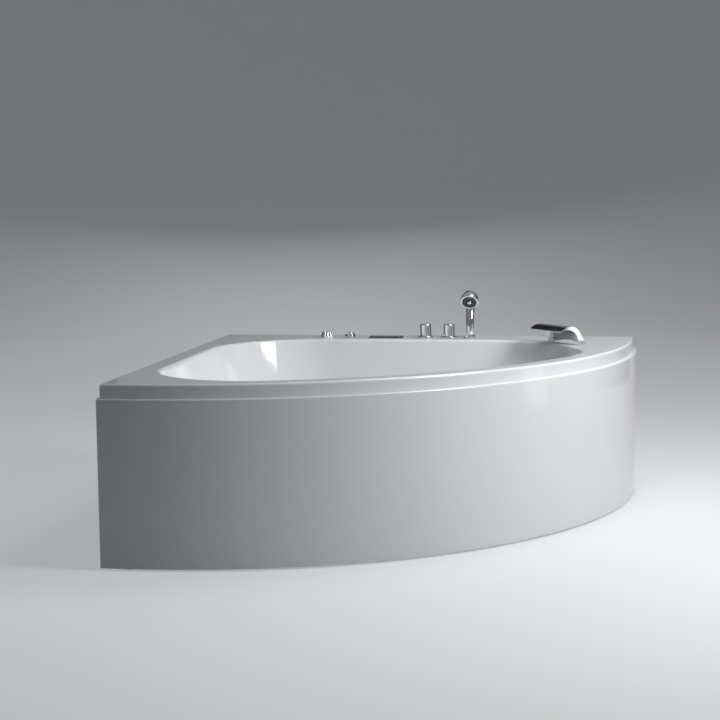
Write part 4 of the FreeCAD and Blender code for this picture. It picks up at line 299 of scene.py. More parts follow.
# %% Cells, a node group
cell_tone, entry, leave = new_group(
    "cell_tone", [("Scale", "NodeSocketFloat", 80.0), ("Stretch", "NodeSocketVector", (1.0, 1.0, 1.0))],
    ["Tone", "Rim"])
place = cell_tone.nodes.new("ShaderNodeTexCoord")
stretch = cell_tone.nodes.new("ShaderNodeVectorMath")
stretch.operation = "MULTIPLY"
cells = cell_tone.nodes.new("ShaderNodeTexVoronoi")
channel = cell_tone.nodes.new("ShaderNodeSeparateColor")
cell_tone.links.new(place.outputs["Object"], stretch.inputs[0])
cell_tone.links.new(entry.outputs["Stretch"], stretch.inputs[1])
cell_tone.links.new(stretch.outputs["Vector"], cells.inputs["Vector"])
cell_tone.links.new(entry.outputs["Scale"], cells.inputs["Scale"])
cell_tone.links.new(cells.outputs["Color"], channel.inputs["Color"])
cell_tone.links.new(channel.outputs["Red"], leave.inputs["Tone"])
cell_tone.links.new(cells.outputs["Distance"], leave.inputs["Rim"])


def celled(material, scale, stretch, height):
    """Let the cells drive the colour, and the bump as well where height is true."""
    tree = material.node_tree
    group = tree.nodes.new("ShaderNodeGroup")
    group.node_tree = cell_tone
    group.inputs["Scale"].default_value = scale
    group.inputs["Stretch"].default_value = stretch
    tree.links.new(group.outputs["Tone"], tree.nodes["colour"].inputs[0])
    if height:
        tree.links.new(group.outputs["Rim"], tree.nodes["relief"].inputs["Height"])
    return material


zinc = celled(finish("zinc_plate", (0.66, 0.67, 0.69), (0.50, 0.51, 0.53), (0.24, 0.40), 500.0, 30.0, 0.05,
                     plain=METAL), 90.0, (1.0, 1.0, 1.0), False)
board = celled(finish("pressed_board", (0.56, 0.42, 0.26), (0.36, 0.25, 0.14), (0.62, 0.8), 300.0, 20.0, 0.35),
               150.0, (1.0, 0.45, 1.6), True)
print("celled:", zinc.name, board.name)

# %% [markdown]
# ## Acrylic with a glass-fibre back
# The shell is one acrylic sheet, drawn hot into a mould, so its good side is as smooth as the mould and has no bump.
# Its back is stiffened with resin and chopped glass fibre, rough and a little yellow. We could split the mesh into
# two materials, but the normal tells the sides apart already: the back of a leaning wall looks down. So one mask
# fades the acrylic into the laminate. The strands are three layers of noise, each drawn out long in its own
# direction.

# %% Glass strands, a node group
strands, entry, leave = new_group("glass_strands", [("Scale", "NodeSocketFloat", 9.0)], ["Strand"])
place = strands.nodes.new("ShaderNodeTexCoord")
layer = None
for turn in ((0.4, 0.2, 0.3), (0.9, 1.1, 1.5), (2.0, 0.6, 2.4)):
    lay = strands.nodes.new("ShaderNodeMapping")
    lay.inputs["Rotation"].default_value = turn
    lay.inputs["Scale"].default_value = (1.0, 22.0, 22.0)
    noise = strands.nodes.new("ShaderNodeTexNoise")
    noise.inputs["Detail"].default_value = 1.0
    strands.links.new(place.outputs["Object"], lay.inputs["Vector"])
    strands.links.new(lay.outputs["Vector"], noise.inputs["Vector"])
    strands.links.new(entry.outputs["Scale"], noise.inputs["Scale"])
    if layer is None:
        layer = noise.outputs["Fac"]
    else:
        top = strands.nodes.new("ShaderNodeMath")
        top.operation = "MAXIMUM"
        strands.links.new(layer, top.inputs[0])
        strands.links.new(noise.outputs["Fac"], top.inputs[1])
        layer = top.outputs[0]
strands.links.new(layer, leave.inputs["Strand"])
print("group:", strands.name)


# %% Acrylic
def with_laminate(material, mask):
    """Fade a finish into glass-fibre laminate where the mask is 1."""
    tree = material.node_tree
    shader = tree.nodes["Principled BSDF"]
    fibre = tree.nodes.new("ShaderNodeGroup")
    fibre.node_tree = strands
    resin = tree.nodes.new("ShaderNodeMix")
    resin.data_type = "RGBA"
    resin.inputs[COLOUR_A].default_value = (0.52, 0.50, 0.42, 1.0)
    resin.inputs[COLOUR_B].default_value = (0.80, 0.79, 0.73, 1.0)
    tree.links.new(fibre.outputs["Strand"], resin.inputs[0])
    side = tree.nodes.new("ShaderNodeMix")
    side.data_type = "RGBA"
    tree.links.new(mask, side.inputs[0])
    tree.links.new(tree.nodes["colour"].outputs[COLOUR_OUT], side.inputs[COLOUR_A])
    tree.links.new(resin.outputs[COLOUR_OUT], side.inputs[COLOUR_B])
    tree.links.new(side.outputs[COLOUR_OUT], shader.inputs["Base Color"])
    gloss = tree.nodes.new("ShaderNodeMix")
    gloss.inputs[VALUE_B].default_value = 0.5
    tree.links.new(mask, gloss.inputs[0])
    tree.links.new(tree.nodes["sheen"].outputs["Result"], gloss.inputs[VALUE_A])
    tree.links.new(gloss.outputs[0], shader.inputs["Roughness"])
    height = tree.nodes.new("ShaderNodeMix")
    height.inputs[VALUE_A].default_value = 0.5
    tree.links.new(mask, height.inputs[0])
    tree.links.new(fibre.outputs["Strand"], height.inputs[VALUE_B])
    tree.links.new(height.outputs[0], tree.nodes["relief"].inputs["Height"])
    return material


ACRYLIC = ((0.84, 0.85, 0.86), (0.81, 0.822, 0.835), (0.045, 0.085), 60.0, 2.2, 0.3)
ACRYLIC_IOR = (("IOR", 1.49),)
shell_finish = finish("shell_acrylic", *ACRYLIC, plain=ACRYLIC_IOR)
tree = shell_finish.node_tree
facing = tree.nodes.new("ShaderNodeNewGeometry")
parts = tree.nodes.new("ShaderNodeSeparateXYZ")
under = tree.nodes.new("ShaderNodeMapRange")
looks_down = (-0.03, -0.09)
for socket, value in zip(("From Min", "From Max"), looks_down):
    under.inputs[socket].default_value = value
tree.links.new(facing.outputs["Normal"], parts.inputs["Vector"])
tree.links.new(parts.outputs["Z"], under.inputs["Value"])
with_laminate(shell_finish, under.outputs["Result"])
print("shell:", shell_finish.name, len(tree.nodes), "nodes")

# %% [markdown]
# ## Apron
# The apron is the same acrylic, but it stands upright, so its back doesn't look down. Its back does look at the
# middle of the arc that it is bent to, and its front looks away from it. The dot product of the normal with the
# direction from that middle says which is which.

# %% Apron
arc_middle, looks_inward = (-0.682, 0.682, 0.25), (-0.4, -0.7)
apron_finish = finish("apron_acrylic", *ACRYLIC, plain=ACRYLIC_IOR)
tree = apron_finish.node_tree
facing = tree.nodes.new("ShaderNodeNewGeometry")
place = tree.nodes.new("ShaderNodeTexCoord")
outward = tree.nodes.new("ShaderNodeVectorMath")
outward.operation = "SUBTRACT"
outward.inputs[1].default_value = arc_middle
along = tree.nodes.new("ShaderNodeVectorMath")
along.operation = "DOT_PRODUCT"
inner = tree.nodes.new("ShaderNodeMapRange")
for socket, value in zip(("From Min", "From Max"), looks_inward):
    inner.inputs[socket].default_value = value
tree.links.new(place.outputs["Object"], outward.inputs[0])
tree.links.new(outward.outputs["Vector"], along.inputs[0])
tree.links.new(facing.outputs["Normal"], along.inputs[1])
tree.links.new(along.outputs["Value"], inner.inputs["Value"])
with_laminate(apron_finish, inner.outputs["Result"])
print("apron:", apron_finish.name, len(tree.nodes), "nodes")

# %% [markdown]
# ## Handing out the finishes
# The record sorts the solids by material, so most of them get their finish by that name. Three differ: shell and
# apron have finishes of their own, and the spray plate of the hand shower is darker than the jets.

# %% Handing out the finishes
finish_of = {
    "acrylic": shell_finish, "board": board, "zinc_steel": zinc, "foot_rubber": pad_rubber, "chrome": chrome,
    "white_plastic": pipe_white, "nozzle_plastic": nozzle_grey, "seal_rubber": seal_black,
    "pump_plastic": pump_black, "motor_paint": motor_paint, "shaft_steel": steel, "brass": brass,
    "panel_dark": panel_glass, "lead_sheath": sheath,
}
for row in frame["record"]["subparts"]:
    nodes[row["node"]].material_slots[0].material = finish_of[row["material_slot"]]
nodes["front_apron"].material_slots[0].material = apron_finish
nodes["spray_face"].material_slots[0].material = spray_dark
hose.data.materials.append(chrome)

# %% [markdown]
# ## Small things, the helpers
# The solids leave out what is too small to matter for their function, but the eye looks for it: nozzles, marks,
# nuts and screws. Each kind is modelled once, standing on the origin with its top towards Z. A second helper then
# sets a copy on every seat, which is a point and the direction that it faces, and joins the copies into one piece.
# The last one gives a piece its finish and its body, and leaves edges sharp where faces meet at a wide angle.

# %% Small things, the helpers
SHARP_ANGLE = math.radians(32)


def pick(piece, test):
    """Go to edit mode with just the faces selected that pass a test on middle and normal."""
    only(piece)
    bpy.ops.object.mode_set(mode="EDIT")
    bpy.ops.mesh.select_mode(type="FACE")
    bpy.ops.mesh.select_all(action="DESELECT")
    bpy.ops.object.mode_set(mode="OBJECT")
    for face in piece.data.polygons:
        face.select = test(face.center, face.normal)
    bpy.ops.object.mode_set(mode="EDIT")


def scatter(pattern, name, seats):
    """Copies of a pattern on seats of point and direction, joined into one piece."""
    made = []
    for spot, out in seats:
        only(pattern)
        bpy.ops.object.duplicate()
        copy = bpy.context.object
        copy.location = spot
        copy.rotation_euler = Vector(out).to_track_quat("Z", "Y").to_euler()
        made.append(copy)
    bpy.data.objects.remove(pattern)
    only(made[0])
    for copy in made:
        copy.select_set(True)
    if len(made) > 1:
        bpy.ops.object.join()
    made[0].name = name
    bpy.ops.object.transform_apply(location=True, rotation=True, scale=True)
    return made[0]


def dress(piece, material, body):
    """Give a piece its finish and the body that it rides on."""
    only(piece)
    bpy.ops.object.shade_smooth_by_angle(angle=SHARP_ANGLE)
    piece.data.materials.append(material)
    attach(piece, body)
    print(piece.name, "on", body, len(piece.data.polygons), "faces")


# %% [markdown]
# ## Hand shower, the handle
# Seen close, the handle has to reach the head from behind, so that the whole spray face stays free. We grow it out
# of a disc: extrude, move, resize, ring by ring, and let it lean back on its way up. Each ring is given by how far
# back and how high it lies, by its half width and by its half depth. The foot gets a socket for the cone's pin.

# %% Hand shower, the handle
foot = Vector((cone_x, hose_y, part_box("handset")[0][2]))
handle_rings = [
    (0.0000, 0.0000, 0.0124, 0.0124), (0.0000, 0.0012, 0.0130, 0.0130), (0.0000, 0.0300, 0.0138, 0.0135),
    (0.0012, 0.0450, 0.0142, 0.0135), (0.0042, 0.0600, 0.0146, 0.0130), (0.0085, 0.0750, 0.0149, 0.0122),
    (0.0122, 0.0880, 0.0150, 0.0114), (0.0135, 0.1000, 0.0150, 0.0110), (0.0128, 0.1130, 0.0147, 0.0108),
    (0.0095, 0.1260, 0.0135, 0.0103), (0.0045, 0.1360, 0.0105, 0.0085),
]
foot_radius, socket_radius, socket_depth = handle_rings[0][2], 0.0053, 0.0126
bpy.ops.object.select_all(action="DESELECT")
bpy.ops.mesh.primitive_circle_add(vertices=40, radius=foot_radius, fill_type="NGON")
handle = bpy.context.object
bpy.ops.object.mode_set(mode="EDIT")
bpy.ops.mesh.select_all(action="SELECT")
for (back, up, wide, deep), (next_back, next_up, next_wide, next_deep) in zip(handle_rings, handle_rings[1:]):
    bpy.ops.mesh.extrude_region_move(TRANSFORM_OT_translate={"value": (0.0, next_back - back, next_up - up)})
    bpy.ops.transform.resize(value=(next_wide / wide, next_deep / deep, 1.0))
bpy.ops.mesh.select_all(action="SELECT")
bpy.ops.mesh.normals_make_consistent(inside=False)
bpy.ops.object.mode_set(mode="OBJECT")
pick(handle, lambda middle, normal: middle.z < 0.0001)
bpy.ops.mesh.inset(thickness=foot_radius - socket_radius)
bpy.ops.mesh.extrude_region_move(TRANSFORM_OT_translate={"value": (0.0, 0.0, socket_depth)})
bpy.ops.object.mode_set(mode="OBJECT")
handle.location = foot
only(handle)
bpy.ops.object.transform_apply(location=True)
print("handle:", len(handle.data.polygons), "faces")

# %% [markdown]
# ## Hand shower, the head
# The head is a ball, drawn out backwards and cut in half, with a short straight rim and a shallow recess for the
# spray face. It leans forward by 40 degrees. A boolean modifier welds it to the handle.

# %% Hand shower, the head
lean = math.radians(40.0)
face_out = Vector((0.0, -math.cos(lean), -math.sin(lean)))
head_middle = foot + Vector((0.0, -0.016, 0.120))
head_radius, head_depth, recess_radius, recess_depth = 0.033, 0.046, 0.0263, 0.0020
rim_straight, rim_chamfer, rim_taper = 0.0040, 0.0010, 0.97
bpy.ops.object.select_all(action="DESELECT")
bpy.ops.mesh.primitive_uv_sphere_add(segments=48, ring_count=28, radius=head_radius)
head = bpy.context.object
bpy.ops.object.mode_set(mode="EDIT")
bpy.ops.mesh.select_all(action="SELECT")
bpy.ops.transform.resize(value=(1.0, 1.0, head_depth / head_radius))
bpy.ops.mesh.bisect(plane_co=(0.0, 0.0, 0.0), plane_no=(0.0, 0.0, 1.0), use_fill=True, clear_inner=True)
bpy.ops.object.mode_set(mode="OBJECT")
pick(head, lambda middle, normal: abs(middle.z) < 0.0001 and abs(normal.z) > 0.9)
bpy.ops.mesh.extrude_region_move(TRANSFORM_OT_translate={"value": (0.0, 0.0, -rim_straight)})
bpy.ops.mesh.extrude_region_move(TRANSFORM_OT_translate={"value": (0.0, 0.0, -rim_chamfer)})
bpy.ops.transform.resize(value=(rim_taper, rim_taper, 1.0))
bpy.ops.mesh.inset(thickness=head_radius * rim_taper - recess_radius)
bpy.ops.mesh.extrude_region_move(TRANSFORM_OT_translate={"value": (0.0, 0.0, recess_depth)})
bpy.ops.mesh.select_all(action="SELECT")
bpy.ops.mesh.normals_make_consistent(inside=False)
bpy.ops.object.mode_set(mode="OBJECT")
head = scatter(head, "shower_head", [(head_middle, -face_out)])
only(handle)
weld = handle.modifiers.new("weld", "BOOLEAN")
weld.operation = "UNION"
weld.object = head
bpy.ops.object.modifier_apply(modifier="weld")
bpy.data.objects.remove(head)
handle.name = "hand_shower"
dress(handle, chrome, "handset")
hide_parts("handset")

# %% [markdown]
# ## Spray nozzles
# Soft nozzles in three rings let limescale be rubbed off. One is a short cone: the top is inset and pushed down,
# which leaves a bore. The spray face leans with the head, so we work out its middle and two directions in it.

# %% Spray nozzles
nub_wall, nub_bore, plate_out = 0.0004, 0.0009, 0.006
nub_rings = ((0.0105, 12), (0.0160, 18), (0.0215, 24))
bpy.ops.object.select_all(action="DESELECT")
bpy.ops.mesh.primitive_cone_add(vertices=10, radius1=0.0013, radius2=0.0009, depth=0.0016,
                                location=(0.0, 0.0, 0.0005))
nub = bpy.context.object
bpy.ops.object.transform_apply(location=True)
pick(nub, lambda middle, normal: normal.z > 0.9)
bpy.ops.mesh.inset(thickness=nub_wall)
bpy.ops.transform.translate(value=(0.0, 0.0, -nub_bore))
bpy.ops.object.mode_set(mode="OBJECT")
face_side = Vector((1.0, 0.0, 0.0))
face_up = face_out.cross(face_side)
face_middle = head_middle + face_out * plate_out
seats = []
for radius, count in nub_rings:
    for k in range(count):
        turn = 2 * math.pi * k / count
        seats.append((face_middle + (face_side * math.cos(turn) + face_up * math.sin(turn)) * radius, face_out))
nubs = scatter(nub, "spray_nozzles", seats)
dress(nubs, seal_black, "handset")

# %% [markdown]
# ## Centre cap
# The middle of the spray face is a polished button that hides its screw. It is half a ball, cut off with a bisect,
# pressed flat, and set over the plastic boss.

# %% Centre cap
cap_radius, cap_press, cap_gap = 0.0074, 0.42, 0.0001
bpy.ops.object.select_all(action="DESELECT")
bpy.ops.mesh.primitive_uv_sphere_add(segments=28, ring_count=14, radius=cap_radius)
cap = bpy.context.object
bpy.ops.object.mode_set(mode="EDIT")
bpy.ops.mesh.select_all(action="SELECT")
bpy.ops.mesh.bisect(plane_co=(0.0, 0.0, 0.0), plane_no=(0.0, 0.0, 1.0), use_fill=True, clear_inner=True)
bpy.ops.mesh.select_all(action="SELECT")
bpy.ops.transform.resize(value=(1.0, 1.0, cap_press))
bpy.ops.object.mode_set(mode="OBJECT")
cap = scatter(cap, "spray_cap", [(face_middle + face_out * cap_gap, face_out)])
dress(cap, chrome, "handset")

# %% [markdown]
# ## Jet nozzles
# A jet's nozzle is a ball with a bore, held by a lip so that it can be aimed. We bisect a ball in front and behind,
# inset the two flat discs to the width of the bore, and bridge them, which opens the bore from end to end. The record
# says about which point and axis each nozzle tilts, so that is where the copies go, one on each moving body. The
# walls lean, so each nozzle looks a little upwards.

# %% Jet nozzles
ball_radius, flat_at, bore_radius, wall_lean = 0.0176, 0.0150, 0.006, math.radians(12.265)
land, mouth = 0.0006, 0.0008
bpy.ops.object.select_all(action="DESELECT")
bpy.ops.mesh.primitive_uv_sphere_add(segments=36, ring_count=24, radius=ball_radius)
ball = bpy.context.object
bpy.ops.object.mode_set(mode="EDIT")
for side in (1.0, -1.0):
    bpy.ops.mesh.select_all(action="SELECT")
    bpy.ops.mesh.bisect(plane_co=(0.0, 0.0, side * flat_at), plane_no=(0.0, 0.0, side), use_fill=True,
                        clear_outer=True)
bpy.ops.object.mode_set(mode="OBJECT")
pick(ball, lambda middle, normal: abs(middle.z) > flat_at - 0.0001)
disc_radius = math.sqrt(ball_radius ** 2 - flat_at ** 2)
bpy.ops.mesh.inset(thickness=land, use_individual=True)
bpy.ops.mesh.inset(thickness=disc_radius - land - bore_radius - mouth, use_individual=True)
bpy.ops.mesh.inset(thickness=mouth, depth=-mouth, use_individual=True)
bpy.ops.mesh.bridge_edge_loops()
bpy.ops.object.mode_set(mode="OBJECT")
for tilt in frame["record"]["behaviour"]["joints"]:
    if not tilt["name"].startswith("nozzle"):
        continue
    level_out = Vector(tilt["axis"]).cross(Vector((0.0, 0.0, 1.0)))
    out = level_out * math.cos(wall_lean) + Vector((0.0, 0.0, math.sin(wall_lean)))
    only(ball)
    bpy.ops.object.duplicate()
    nozzle = scatter(bpy.context.object, "open_" + tilt["child"], [(tilt["pos_m"], out)])
    dress(nozzle, nozzle_grey, tilt["child"])
    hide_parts(tilt["child"])
bpy.data.objects.remove(ball)

# %% [markdown]
# ## Marks on knobs and panel
# A fine inlaid line on top of each knob shows how far it is turned, and rings on the glass panel show where to touch.
# The line is a bevelled bar, the ring a torus pressed nearly flat. The rings glow faintly, as lit marks do.

# %% Marks on the knobs
millimetre, line_size, line_in = 0.001, (1.5, 10.0, 0.5), 0.0085
for knob in ("mixer_knob", "diverter_knob"):
    low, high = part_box(knob)
    bpy.ops.object.select_all(action="DESELECT")
    bpy.ops.mesh.primitive_cube_add(size=millimetre, location=((low[0] + high[0]) / 2, low[1] + line_in, high[2]))
    line = bpy.context.object
    line.name = knob + "_line"
    bpy.ops.object.mode_set(mode="EDIT")
    bpy.ops.transform.resize(value=line_size)
    bpy.ops.mesh.bevel(offset=0.00012, segments=1)
    bpy.ops.object.mode_set(mode="OBJECT")
    bpy.ops.object.transform_apply(location=True)
    dress(line, panel_glass, knob)

# %% Marks on the panel
lit_mark = finish("lit_mark", (0.60, 0.66, 0.72), (0.52, 0.58, 0.64), (0.3, 0.4), 900.0, 60.0, 0.0,
                  plain=(("Emission Color", (0.55, 0.75, 1.0, 1.0)), ("Emission Strength", 0.25)))
bpy.ops.object.select_all(action="DESELECT")
bpy.ops.mesh.primitive_torus_add(major_radius=0.0042, minor_radius=0.00045, major_segments=28, minor_segments=6)
ring = bpy.context.object
bpy.ops.object.mode_set(mode="EDIT")
bpy.ops.transform.resize(value=(1.0, 1.0, 0.35))
bpy.ops.object.mode_set(mode="OBJECT")
low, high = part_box("control_panel")
first_mark, mark_pitch, mark_count = 0.018, 0.022, 5
seats = [((low[0] + first_mark + mark_pitch * k, (low[1] + high[1]) / 2, high[2]), (0.0, 0.0, 1.0))
         for k in range(mark_count)]
marks = scatter(ring, "panel_marks", seats)
dress(marks, lit_mark, "bath")

# %% [markdown]
# ## Ring nuts on the pump
# Unions let the pump be taken out: a ribbed ring nut sits on its inlet and on its outlet. A ring comes from a drum
# whose two ends are inset to the bore. Bridging the two inner faces removes them and closes the bore with a wall.
# Every second side is inset and pushed out, which makes the ribs.

# %% Ring nuts on the pump
NUT_SIDES = 24


def ring_nut(outer, bore, height, rib):
    """A ring along Z from the origin upwards, with ribs where a height for them is given."""
    bpy.ops.object.select_all(action="DESELECT")
    bpy.ops.mesh.primitive_cylinder_add(vertices=NUT_SIDES, radius=outer, depth=height,
                                        location=(0.0, 0.0, height / 2))
    nut = bpy.context.object
    bpy.ops.object.transform_apply(location=True)
    pick(nut, lambda middle, normal: abs(normal.z) > 0.9)
    bpy.ops.mesh.inset(thickness=outer * math.cos(math.pi / NUT_SIDES) - bore, use_individual=True)
    bpy.ops.mesh.bridge_edge_loops()
    bpy.ops.object.mode_set(mode="OBJECT")
    if rib:
        side_turn = 2 * math.pi / NUT_SIDES
        pick(nut, lambda middle, normal: middle.xy.length > outer * 0.95 and abs(normal.z) < 0.1
             and round(math.atan2(middle.y, middle.x) / side_turn - 0.5) % 2 == 0)
        bpy.ops.mesh.inset(thickness=0.0011, use_individual=True)
        bpy.ops.transform.shrink_fatten(value=rib)
        bpy.ops.object.mode_set(mode="OBJECT")
    return nut


low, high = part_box("pump_volute")
shaft_y, shaft_z, outlet_x, inlet_in, outlet_down = 0.5821, 0.1976, 0.4075, 0.003, 0.0165
inlet_nut = scatter(ring_nut(0.034, 0.0262, 0.022, 0.002), "inlet_nut",
                    [((low[0] + inlet_in, shaft_y, shaft_z), (1.0, 0.0, 0.0))])
dress(inlet_nut, pump_black, "bath")
outlet_nut = scatter(ring_nut(0.0285, 0.0212, 0.017, 0.002), "outlet_nut",
                     [((outlet_x, shaft_y, high[2] - outlet_down), (0.0, 0.0, 1.0))])
dress(outlet_nut, pump_black, "bath")

# %% [markdown]
# ## Bolts and screws
# The pump case is held by hexagon bolts with a flange, the lid of the control box by round-headed screws with a
# socket. Both start as a flat drum: its top is inset, and the head is pulled out of it. A bevel takes the sharp edges
# off the bolt, and the screw's top is inset twice and pushed down, which makes its socket.

# %% Pump bolts
def headed(sides, base, base_height, top, top_height, socket):
    """A disc with a head pulled out of its top, with a socket in it where one is asked for."""
    bpy.ops.object.select_all(action="DESELECT")
    bpy.ops.mesh.primitive_cylinder_add(vertices=sides, radius=base, depth=base_height,
                                        location=(0.0, 0.0, base_height / 2))
    piece = bpy.context.object
    bpy.ops.object.transform_apply(location=True)
    pick(piece, lambda middle, normal: normal.z > 0.9)
    bpy.ops.mesh.inset(thickness=base - top)
    bpy.ops.mesh.extrude_region_move(TRANSFORM_OT_translate={"value": (0.0, 0.0, top_height)})
    if socket:
        bpy.ops.mesh.inset(thickness=top * 0.16)
        bpy.ops.transform.translate(value=(0.0, 0.0, top_height * 0.3))
        bpy.ops.mesh.inset(thickness=top * 0.34)
        bpy.ops.mesh.extrude_region_move(TRANSFORM_OT_translate={"value": (0.0, 0.0, -top_height)})
    else:
        bpy.ops.mesh.bevel(offset=top * 0.12, segments=2)
    bpy.ops.object.mode_set(mode="OBJECT")
    return piece


case_face, bolt_circle = 0.3805, 0.049
around = [math.radians(30 + 60 * k) for k in range(6)]
seats = [((case_face, shaft_y + bolt_circle * math.cos(t), shaft_z + bolt_circle * math.sin(t)), (-1.0, 0.0, 0.0))
         for t in around]
bolts = scatter(headed(6, 0.0075, 0.0012, 0.0052, 0.004, False), "case_bolts", seats)
dress(bolts, zinc, "bath")

# %% Control box lid
low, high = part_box("control_box")
lid_size, lid_proud, screw_in = Vector((0.126, 0.003, 0.076)), 0.0008, 0.008
lid_middle = Vector(((low[0] + high[0]) / 2, high[1] + lid_proud, (low[2] + high[2]) / 2))
bpy.ops.object.select_all(action="DESELECT")
bpy.ops.mesh.primitive_cube_add(size=1.0, location=lid_middle)
lid = bpy.context.object
lid.name = "control_lid"
bpy.ops.object.mode_set(mode="EDIT")
bpy.ops.transform.resize(value=lid_size)
bpy.ops.mesh.bevel(offset=0.0012, segments=2)
bpy.ops.object.mode_set(mode="OBJECT")
bpy.ops.object.transform_apply(location=True)
dress(lid, pump_black, "bath")
screw_x, screw_z = lid_size.x / 2 - screw_in, lid_size.z / 2 - screw_in
seats = [(lid_middle + Vector((side * screw_x, lid_size.y / 2, row * screw_z)), (0.0, 1.0, 0.0))
         for side in (-1, 1) for row in (-1, 1)]
lid_screws = scatter(headed(16, 0.0034, 0.0009, 0.0033, 0.0009, True), "lid_screws", seats)
dress(lid_screws, zinc, "bath")

# %% [markdown]
# ## Ribs on the motor's end
# The cast end of the motor has twelve ribs like a wheel. One rib is a bar with bevelled edges, moved out from the
# middle. Spin with copies then repeats it round the axis.

# %% Ribs on the motor's end
rib_count, rib_size, rib_out = 12, (0.027, 0.003, 0.0044), 0.0290
bpy.ops.object.select_all(action="DESELECT")
bpy.ops.mesh.primitive_cube_add(size=1.0)
ribs = bpy.context.object
bpy.ops.object.mode_set(mode="EDIT")
bpy.ops.transform.resize(value=rib_size)
bpy.ops.mesh.bevel(offset=0.0009, segments=2)
bpy.ops.mesh.select_all(action="SELECT")
bpy.ops.transform.translate(value=(rib_out, 0.0, 0.0))
bpy.ops.mesh.spin(steps=rib_count - 1, dupli=True, angle=2 * math.pi * (rib_count - 1) / rib_count,
                  center=(0.0, 0.0, 0.0), axis=(0.0, 0.0, 1.0))
bpy.ops.object.mode_set(mode="OBJECT")
low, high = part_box("motor_housing")
ribs = scatter(ribs, "motor_end_ribs", [((high[0], shaft_y, shaft_z), (1.0, 0.0, 0.0))])
dress(ribs, motor_paint, "bath")

# %% [markdown]
# ## Hose clips
# The air hose is held on its two nipples by clips. A clip is a thin ring, made like the ring nut but without ribs,
# with the housing of its screw on one side. That housing is a block with rounded edges, and the screw is one of the
# socket screws from above.

# %% Hose clips
housing_middle, housing_size = Vector((0.0, -0.0122, 0.004)), (0.010, 0.0056, 0.009)
band = ring_nut(0.0101, 0.0091, 0.008, 0.0)
bpy.ops.object.select_all(action="DESELECT")
bpy.ops.mesh.primitive_cube_add(size=1.0, location=housing_middle)
housing = bpy.context.object
bpy.ops.object.mode_set(mode="EDIT")
bpy.ops.transform.resize(value=housing_size)
bpy.ops.mesh.bevel(offset=0.0014, segments=3)
bpy.ops.object.mode_set(mode="OBJECT")
bpy.ops.object.transform_apply(location=True)
worm = scatter(headed(12, 0.0028, 0.0022, 0.0027, 0.0009, True), "worm",
               [(housing_middle + Vector((housing_size[0] / 2, 0.0, 0.0)), (1.0, 0.0, 0.0))])
only(band)
housing.select_set(True)
worm.select_set(True)
bpy.ops.object.join()
low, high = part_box("air_hose")
hose_x, clip_down, clip_in, end_radius = (low[0] + high[0]) / 2, 0.012, 0.011, 0.009
seats = [((hose_x, hose_y, high[2] - clip_down), (0.0, 0.0, 1.0)),
         ((hose_x, low[1] + clip_in, low[2] + end_radius), (0.0, -1.0, 0.0))]
clips = scatter(band, "hose_clips", seats)
dress(clips, steel, "bath")

# %% [markdown]
# ## Lead hangers
# The panel's lead and the switch's air tube run along the back, and hangers under the deck carry them. A hanger is
# a flat loop: a block whose two sides are inset and bridged. Its top is inset and pulled up to the deck.

# %% Lead hangers
loop_size, loop_wall, neck_in, neck_share, neck_height = (0.012, 0.0236, 0.0276), 0.0014, 0.003, 0.35, 0.031
lead_y, lead_z = 0.728, 0.490
bpy.ops.object.select_all(action="DESELECT")
bpy.ops.mesh.primitive_cube_add(size=1.0)
loop = bpy.context.object
bpy.ops.object.mode_set(mode="EDIT")
bpy.ops.transform.resize(value=loop_size)
bpy.ops.object.mode_set(mode="OBJECT")
pick(loop, lambda middle, normal: abs(normal.x) > 0.9)
bpy.ops.mesh.inset(thickness=loop_wall, use_individual=True)
bpy.ops.mesh.bridge_edge_loops()
bpy.ops.object.mode_set(mode="OBJECT")
pick(loop, lambda middle, normal: normal.z > 0.9 and middle.z > loop_size[2] / 2 - 0.0001)
bpy.ops.mesh.inset(thickness=neck_in)
bpy.ops.transform.resize(value=(1.0, neck_share, 1.0))
bpy.ops.mesh.extrude_region_move(TRANSFORM_OT_translate={"value": (0.0, 0.0, neck_height)})
bpy.ops.object.mode_set(mode="OBJECT")
seats = [((x, lead_y, lead_z), (0.0, 0.0, 1.0)) for x in (-0.07, 0.135, 0.30, 0.47)]
hangers = scatter(loop, "lead_hangers", seats)
dress(hangers, pipe_white, "bath")

# %% [markdown]
# ## Stage
# The bath stands in a round, pale cove: a floor that bends up into a wall all the way round, so that no horizon cuts
# through any view. It starts as an open drum, and the edge between floor and wall is bevelled into a wide sweep.

# %% Stage
scene = bpy.context.scene
scene.view_settings.view_transform = "Standard"
cove_radius, cove_height, sweep = 10.0, 8.0, 3.5
bpy.ops.object.select_all(action="DESELECT")
bpy.ops.mesh.primitive_cylinder_add(vertices=128, radius=cove_radius, depth=cove_height,
                                    location=(0.0, 0.0, cove_height / 2))
cove = bpy.context.object
cove.name = "studio_cove"
bpy.ops.object.transform_apply(location=True)
pick(cove, lambda middle, normal: normal.z > 0.5)
bpy.ops.mesh.delete(type="FACE")
bpy.ops.object.mode_set(mode="OBJECT")
for edge in cove.data.edges:
    edge.select = all(cove.data.vertices[v].co.z < 0.01 for v in edge.vertices)
bpy.ops.object.mode_set(mode="EDIT")
bpy.ops.mesh.select_mode(type="EDGE")
bpy.ops.mesh.bevel(offset=sweep, segments=14)
bpy.ops.mesh.select_all(action="SELECT")
bpy.ops.mesh.flip_normals()
bpy.ops.object.mode_set(mode="OBJECT")
bpy.ops.object.shade_smooth()
print("cove:", len(cove.data.polygons), "faces")

# %% [markdown]
# ## Stage, the paint
# To the camera and in the chrome the cove glows a little, most near the bath, so that the floor is pale and the wall
# behind is a calm grey. That glow lights nothing, so the floor keeps the shadow.

